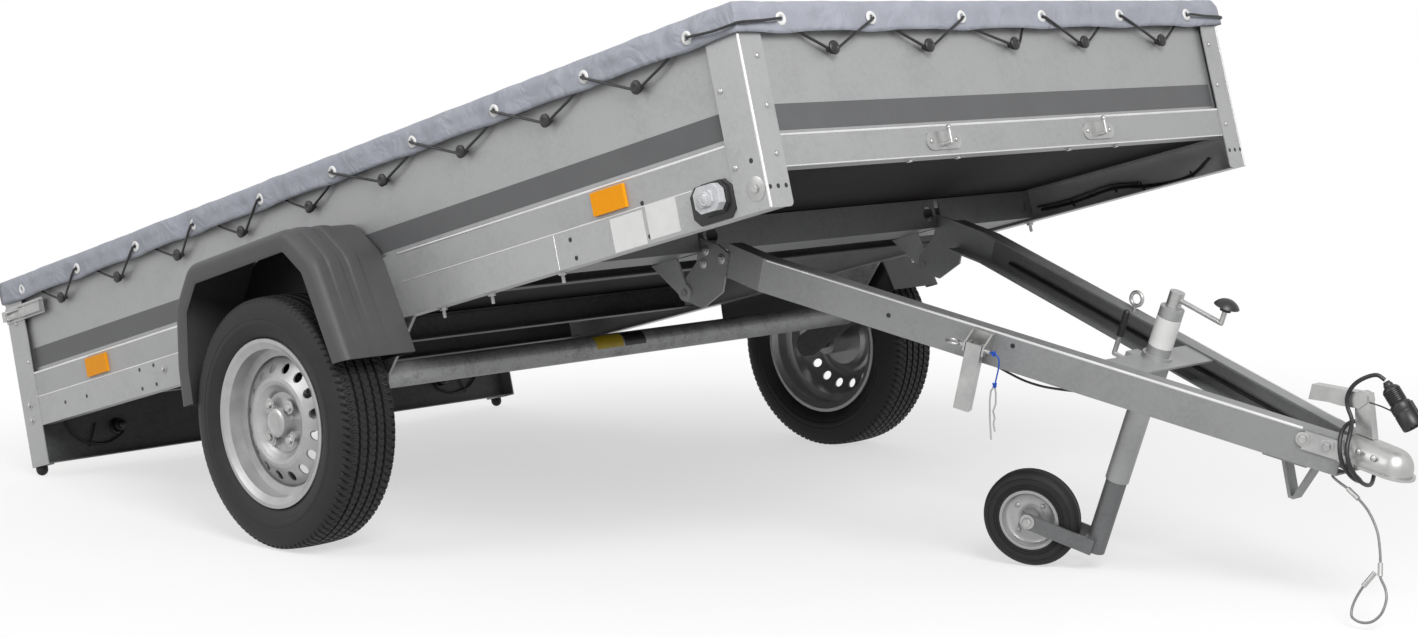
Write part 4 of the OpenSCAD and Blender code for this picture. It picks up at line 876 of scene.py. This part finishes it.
# Wiring clipped to the frame: along the left rail, at the lamps and under the right beam
def make_looms():
    rail = [(1327, 199), (1272, 172), (1202, 169), (1133, 176), (1055, 188), (989, 185), (929, 181),
            (868, 182), (836, 184)]
    rail_y, lamp_x, clip_r = 766, -1252, 2.4
    runs = [wire([at(BED, x, rail_y, z) for x, z in rail], 3.5),
            wire([at(BED, x - 8, rail_y - 1, z + 9) for x, z in rail[3:]], 3)]
    held = (rail[1], rail[3], rail[4], rail[6])
    clips = [fold(BED, (x, rail_y + 6, z - 9), (x, rail_y - 4, z + 9), clip_r) for x, z in held]
    loop = [(689, 169), (675, 136), (645, 108), (620, 100), (577, 96), (538, 110), (520, 126)]
    socket = [(21, 0), (21, 3), (17, 4), (17, 20), (15, 23), (11, 23.5), (10, 30), (7, 32), (AXIS, 32)]
    sockets = []
    for s in (-1, 1):
        runs.append(wire([at(BED, lamp_x, s * y, z) for y, z in loop], 3))
        clips.append(fold(BED, (lamp_x - 1, s * 604, 151), (lamp_x - 1, s * 631, 93), clip_r))
        sockets.append(lathe(socket, upright(BED, lamp_x - 5, s * 541, 136, "x"), 28))
    piece("frame_looms", runs, black_plastic)
    piece("frame_clips", clips + sockets, black_plastic)
    sag = [(640, 58), (668, 52), (700, 47), (735, 47), (770, 52), (800, 58)]
    under = [at(BAR, x, 20 - beam_half(x), z) for x, z in sag]
    piece("beam_wire", [wire(under, 2.5, 6)], black_plastic, "drawbar")


def wrap_label(low, high):
    """A blank label round the front of the axle tube."""
    axle_x, axle_z, label_r, steps = 163, 55, 28.4, 8
    corners = []
    for k in range(steps + 1):
        a = math.radians(-16 + 9 * k)
        x, z = axle_x + label_r * math.cos(a), axle_z + label_r * math.sin(a)
        corners += [at(BED, x, y, z) for y in (low, high)]
    return corners, grid(steps + 1, 2)


# Lens fields of the lamp clusters: amber outside, red in the middle and clear inside, in a black housing
def make_rear_lenses():
    rear, low, high = -1291, 70.2, 166.2
    outer_end, width = 700, 220
    # Columns: start and end as shares of the cluster's width from its outer end
    fields = (("rear_amber", 0.04, 0.32, amber), ("rear_red", 0.34, 0.74, red_lens),
              ("rear_clear", 0.76, 0.96, clear_lens))
    for name, start, end, mat in fields:
        shapes = []
        for s in (-1, 1):
            a, b = sorted((s * (outer_end - width * start), s * (outer_end - width * end)))
            shapes.append(slab((rear - 3, a, low + 6), (rear + 0.2, b, high - 6), BED))
            for k in range(5):
                z = low + 16 + 16 * k
                shapes.append(slab((rear - 4, a + 3, z), (rear - 2.8, b - 3, z + 4), BED))
        edge(piece(name, shapes, mat), 1.2)
    rims = []
    for s in (-1, 1):
        a, b = sorted((s * (outer_end - 0.5), s * (outer_end - width + 0.5)))
        # Bottom, top and the two ends
        for y0, y1, z0, z1 in ((a, b, low + 0.5, low + 5), (a, b, high - 5, high - 0.5),
                               (a, a + 5, low + 5, high - 5), (b - 5, b, low + 5, high - 5)):
            rims.append(slab((rear - 1.6, y0, z0), (rear + 8, y1, z1), BED))
    edge(piece("rear_lamp_rims", rims, black_plastic), 1.0)


# Jockey wheel: a ribbed solid tyre on two pressed discs with their rivets, and the axle's nuts on the fork
FORK_FACE = 35


def make_jockey():
    axis = Vector(joints["jockey_spin"]["axis"]).normalized()
    place = Matrix.Translation(joint_place("jockey_spin")) @ axis.to_track_quat("Z", "Y").to_matrix().to_4x4()
    both = (place, place @ Matrix.Rotation(math.pi, 4, "X"))
    body = joints["jockey_spin"]["child"]
    side = [(62.2, 22), (64.4, 23.6), (66, 23.6), (66.8, 21.8), (68.6, 21.8), (69.4, 23.6), (71, 23.6),
            (71.8, 22), (73.6, 22), (74.4, 23.8), (84, 23.9), (85, 22.6), (86.4, 22.6), (87.2, 23.6),
            (89, 23), (93.5, 20.5), (96.6, 17), (98.6, 13), (99.6, 9.5), (98, 8.6), (97.4, 7.4), (97.4, 6.2),
            (98, 5), (99.8, 4.2)]
    section = [(r, -h) for r, h in side] + side[::-1]
    tyre = piece("jockey_tread", [lathe(section, place, 72)], tyre_rubber, body)
    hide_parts("jockey_tyre")
    dish = [(17, 3.4), (21, 6.5), (27, 9), (34, 9.5), (43, 8), (49, 8.6), (53, 12), (55, 17), (57, 21.5),
            (60, 23.4), (62, 23.2)]
    shapes = [lathe(dish, place, 48), lathe([(r, -h) for r, h in dish][::-1], place, 48)]
    for turn in both:
        shapes += [rivet(turn @ shift(x, y, 9), 5) for x, y in round_places(37, 4, math.pi / 4)]
    piece("jockey_discs", shapes, rim_silver, body)
    nuts = [bolt(turn @ shift(0, 0, FORK_FACE), 9) for turn in both]
    piece("jockey_nuts", nuts, zinc, joints["jockey_spin"]["parent"])


# Fasteners of the bed, given for one side and mirrored; holes are black discs, painted shade for the dark
# inside each hole
RAIL_HOLES = ((-1091, 200), (-987, 199), (-733, 222), (-670, 223), (-734, 176), (-670, 177), (861, 214),
              (869, 176), (1079, 240), (1083, 175))


def make_bed_fasteners():
    rivets, bolts, hole_shades, caps = [], [], [], []
    for s, side in SIDES:
        for x, z in ((1339, 394), (1339, 250), (-1231, 326), (-1259, 430)):
            rivets.append(rivet(upright(BED, x, s * BED_HALF, z, side), 5.5))
        for y, z in ((736, 443), (736, 350), (736, 260)):
            rivets.append(rivet(upright(BED, BED_FRONT, s * y, z, "x"), 5.5))
        for y in (770, 749, 728):
            hole_shades.append(hole_shade(upright(BED, BED_FRONT, s * y, 200, "x"), 4.5))
        post_bolt = upright(BED, 1380, s * BED_HALF, 202, side)
        bolts.append(bolt(post_bolt, 8))
        rivets.append(lathe([(23, 0.1), (23, 0.9), (21.5, 1.6), (AXIS, 1.8)], post_bolt, 32))
        for x, z, half in ((-1259, 218, BED_HALF), (-1260, 179, BED_HALF), (-630, 206, LOWER_HALF)):
            bolts.append(bolt(upright(BED, x, s * half, z, side), 6.5))
        hole_shades += [hole_shade(upright(BED, x, s * LOWER_HALF, z, side), 5) for x, z in RAIL_HOLES]
        hole_shades.append(hole_shade(upright(BED, 1381, s * BED_HALF, 254, side), 5))
        bolts += [stud(upright(BED, x, s * 757, RAIL_BOTTOM, "-z")) for x in (416, 577, 800)]
        caps += [hook_cap(upright(BED, x, s * UPPER_HALF, HOOK_Z, side)) for x in SIDE_HOOKS]
        rivets += [rivet(upright(BED, FRONT_LOWER + 3, s * y, 264, "x"), 5) for y in (218, 294)]
        for x, z in ((14, 440), (172, 466)):
            rivets.append(rivet(upright(BED, BED_REAR + x, s * (BED_HALF + 3), z, side), 4))
    bolts += [bolt(upright(BED, 1389, y, FLOOR_Z, "-z"), 6) for y in (-349, -201, 165, 331)]
    caps += [hook_cap(upright(BED, FRONT_UPPER, y, HOOK_Z, "x")) for y in FRONT_HOOKS]
    piece("hook_caps", caps, black_plastic)
    piece("bed_rivets", rivets, zinc)
    piece("bed_bolts", bolts, zinc)
    piece("bed_hole_shades", hole_shades, black_plastic)


# Fasteners of the drawbar: at the hinge plates, on the skewed beams and on the coupling
def make_bar_fasteners():
    plate_face, coupling_half, coupling_taper = BEAM_REAR_HALF + 5, 46, 0.12
    bolts, hole_shades = [], []
    for s, side in SIDES:
        for x, z in ((-17, 98), (31, 95), (-17, 70)):
            bolts.append(bolt(upright(BAR, x, s * plate_face, z, side), 6.2))
        # Holes in the beams are black discs: painted shade
        for x, z, fitting, out, r in ((1236, 111, bolt, 4.4, 8), (1280, 111, bolt, 4.4, 8),
                                      (675, 113, hole_shade, 0.1, 5), (420, 96, hole_shade, 0.1, 5)):
            face = BAR @ shift(x, s * beam_half(x), 0) @ Matrix.Rotation(-s * BEAM_SKEW, 4, "Z")
            group = bolts if fitting is bolt else hole_shades
            group.append(fitting(upright(face, 0, s * out, z, side), r))
        for x, z in ((1337, 121), (1367, 119)):
            half = coupling_half - (x - BEAM_LEN) * coupling_taper
            bolts.append(rivet(upright(BAR, x, s * half, z, side), 6))
    piece("drawbar_bolts", bolts, zinc, "drawbar")
    piece("drawbar_hole_shades", hole_shades, black_plastic, "drawbar")


# Finishes of the CAD nodes, with softened edges on folded sheet and castings
def dress_nodes():
    # Crossmembers, light bar and trailing arms under the bed get a near-black steel as painted shade
    special = {name: underside_shade_steel for name in ("crossmembers", "light_bar", "trailing_arms")}
    special |= {name: bright_steel for name in ("front_posts", "rear_posts", "side_rails")}
    special |= {name: beam_steel for name in ("beam_left", "beam_right", "hinge_plates", "rest_strap")}
    # The jack leg and the front crossbeam get a darker steel as painted shade
    special |= {"jack_leg": shaded_steel, "axle_beam": hot_dip, "front_crossbeam": shaded_steel}
    soft_edge = {
        "side_panel_left", "side_panel_right", "front_panel", "front_posts", "rear_posts", "side_rails",
        "tailgate", "latches", "beam_left", "beam_right", "hinge_plates", "rest_strap", "tilt_lock",
        "coupling_handle"}
    slots = {part["node"]: part["material_slot"] for part in frame["record"]["subparts"]}
    for name, obj in nodes.items():
        mat = special.get(name, finish[slots[name]])
        obj.data.materials.clear()
        obj.data.materials.append(mat)
        if name in soft_edge:
            edge(obj, 0.9)


# Studio: pale floor and a soft world that metal reflects too
def seen_rays(tree):
    """1 for rays that show a background: those of the camera, mirrored ones and ones sent through."""
    path = tree.nodes.new("ShaderNodeLightPath").outputs
    shown = combine(tree, "MAXIMUM", path["Is Camera Ray"], path["Is Glossy Ray"])
    return combine(tree, "MAXIMUM", shown, path["Is Transmission Ray"])


def make_studio():
    scene = bpy.context.scene
    scene.view_settings.view_transform = "Standard"
    world = bpy.data.worlds.new("studio")
    scene.world = world
    world.use_nodes = True
    tree = world.node_tree
    back = tree.nodes["Background"]
    level = add(tree, "ShaderNodeMapRange", To_Min=0.42, To_Max=1.0)
    tree.links.new(seen_rays(tree), level.inputs["Value"])
    tree.links.new(level.outputs["Result"], back.inputs["Strength"])
    back.inputs["Color"].default_value = (1, 1, 1, 1)
    # Columns: name, place, size and power of each lamp
    lamps = (("key", (5.5, -3.2, 4.6), 3.0, 430), ("fill", (-2.0, -5.5, 4.0), 3.5, 110))
    for name, place, size, power in lamps:
        data = bpy.data.lights.new(name, "AREA")
        data.size = size
        data.energy = power
        lamp = bpy.data.objects.new(name, data)
        lamp.location = place
        lamp.rotation_euler = (Vector((0, 0, 0.4)) - lamp.location).to_track_quat("-Z", "Y").to_euler()
        bpy.context.collection.objects.link(lamp)
    bpy.ops.mesh.primitive_circle_add(vertices=96, radius=30, fill_type="NGON", location=(0, 0, -0.0005))
    floor = bpy.context.object
    floor.name = "floor"
    floor.data.materials.append(floor_finish())


def floor_finish():
    """Pale floor that keeps the shadow near the trailer and runs out to the white of the background."""
    mat = surface("floor", (0.95, 0.95, 0.95), (0.92, 0.92, 0.92), 2, (0.8, 0.95), 0.0, 0.05, 200)
    tree = mat.node_tree
    link = tree.links.new
    seen = seen_rays(tree)
    # Light bounced up from the floor is that of a darker ground, so the underside stays dark
    shader = tree.nodes["Principled BSDF"]
    tint = tree.nodes.new("ShaderNodeMix")
    tint.data_type = "RGBA"
    tint.inputs["A"].default_value = (0.3, 0.3, 0.3, 1)
    link(seen, tint.inputs["Factor"])
    link(shader.inputs["Base Color"].links[0].from_socket, tint.inputs["B"])
    link(tint.outputs["Result"], shader.inputs["Base Color"])
    far = tree.nodes.new("ShaderNodeVectorMath")
    far.operation = "LENGTH"
    link(tree.nodes.new("ShaderNodeTexCoord").outputs["Object"], far.inputs[0])
    blend = add(tree, "ShaderNodeMapRange", From_Min=1.0, From_Max=3.2, To_Min=0.6, To_Max=1.0)
    blend.interpolation_type = "SMOOTHSTEP"
    link(far.outputs["Value"], blend.inputs["Value"])
    glow = add(tree, "ShaderNodeEmission", Strength=1.0)
    mix = tree.nodes.new("ShaderNodeMixShader")
    link(combine(tree, "MULTIPLY", blend.outputs["Result"], seen), mix.inputs["Fac"])
    link(shader.outputs["BSDF"], mix.inputs[1])
    link(glow.outputs["Emission"], mix.inputs[2])
    link(mix.outputs["Shader"], tree.nodes["Material Output"].inputs["Surface"])
    return mat


set_camera()
make_studio()
dress_nodes()
make_cords()
make_cover()
make_flap()
make_lacing()
make_tyre("tread_left", "tyre_left", "left_wheel_spin", "wheel_left")
make_tyre("tread_right", "tyre_right", "right_wheel_spin", "wheel_right")
make_mudguard("guard_left", "mudguard_left", 1)
make_mudguard("guard_right", "mudguard_right", -1)
make_wheel_trim("left", "left_wheel_spin", "wheel_left", 1)
make_wheel_trim("right", "right_wheel_spin", "wheel_right", -1)
make_jockey()
make_trim()
make_markers()
make_folds()
make_looms()
make_rear_lenses()
make_bed_fasteners()
make_bar_fasteners()
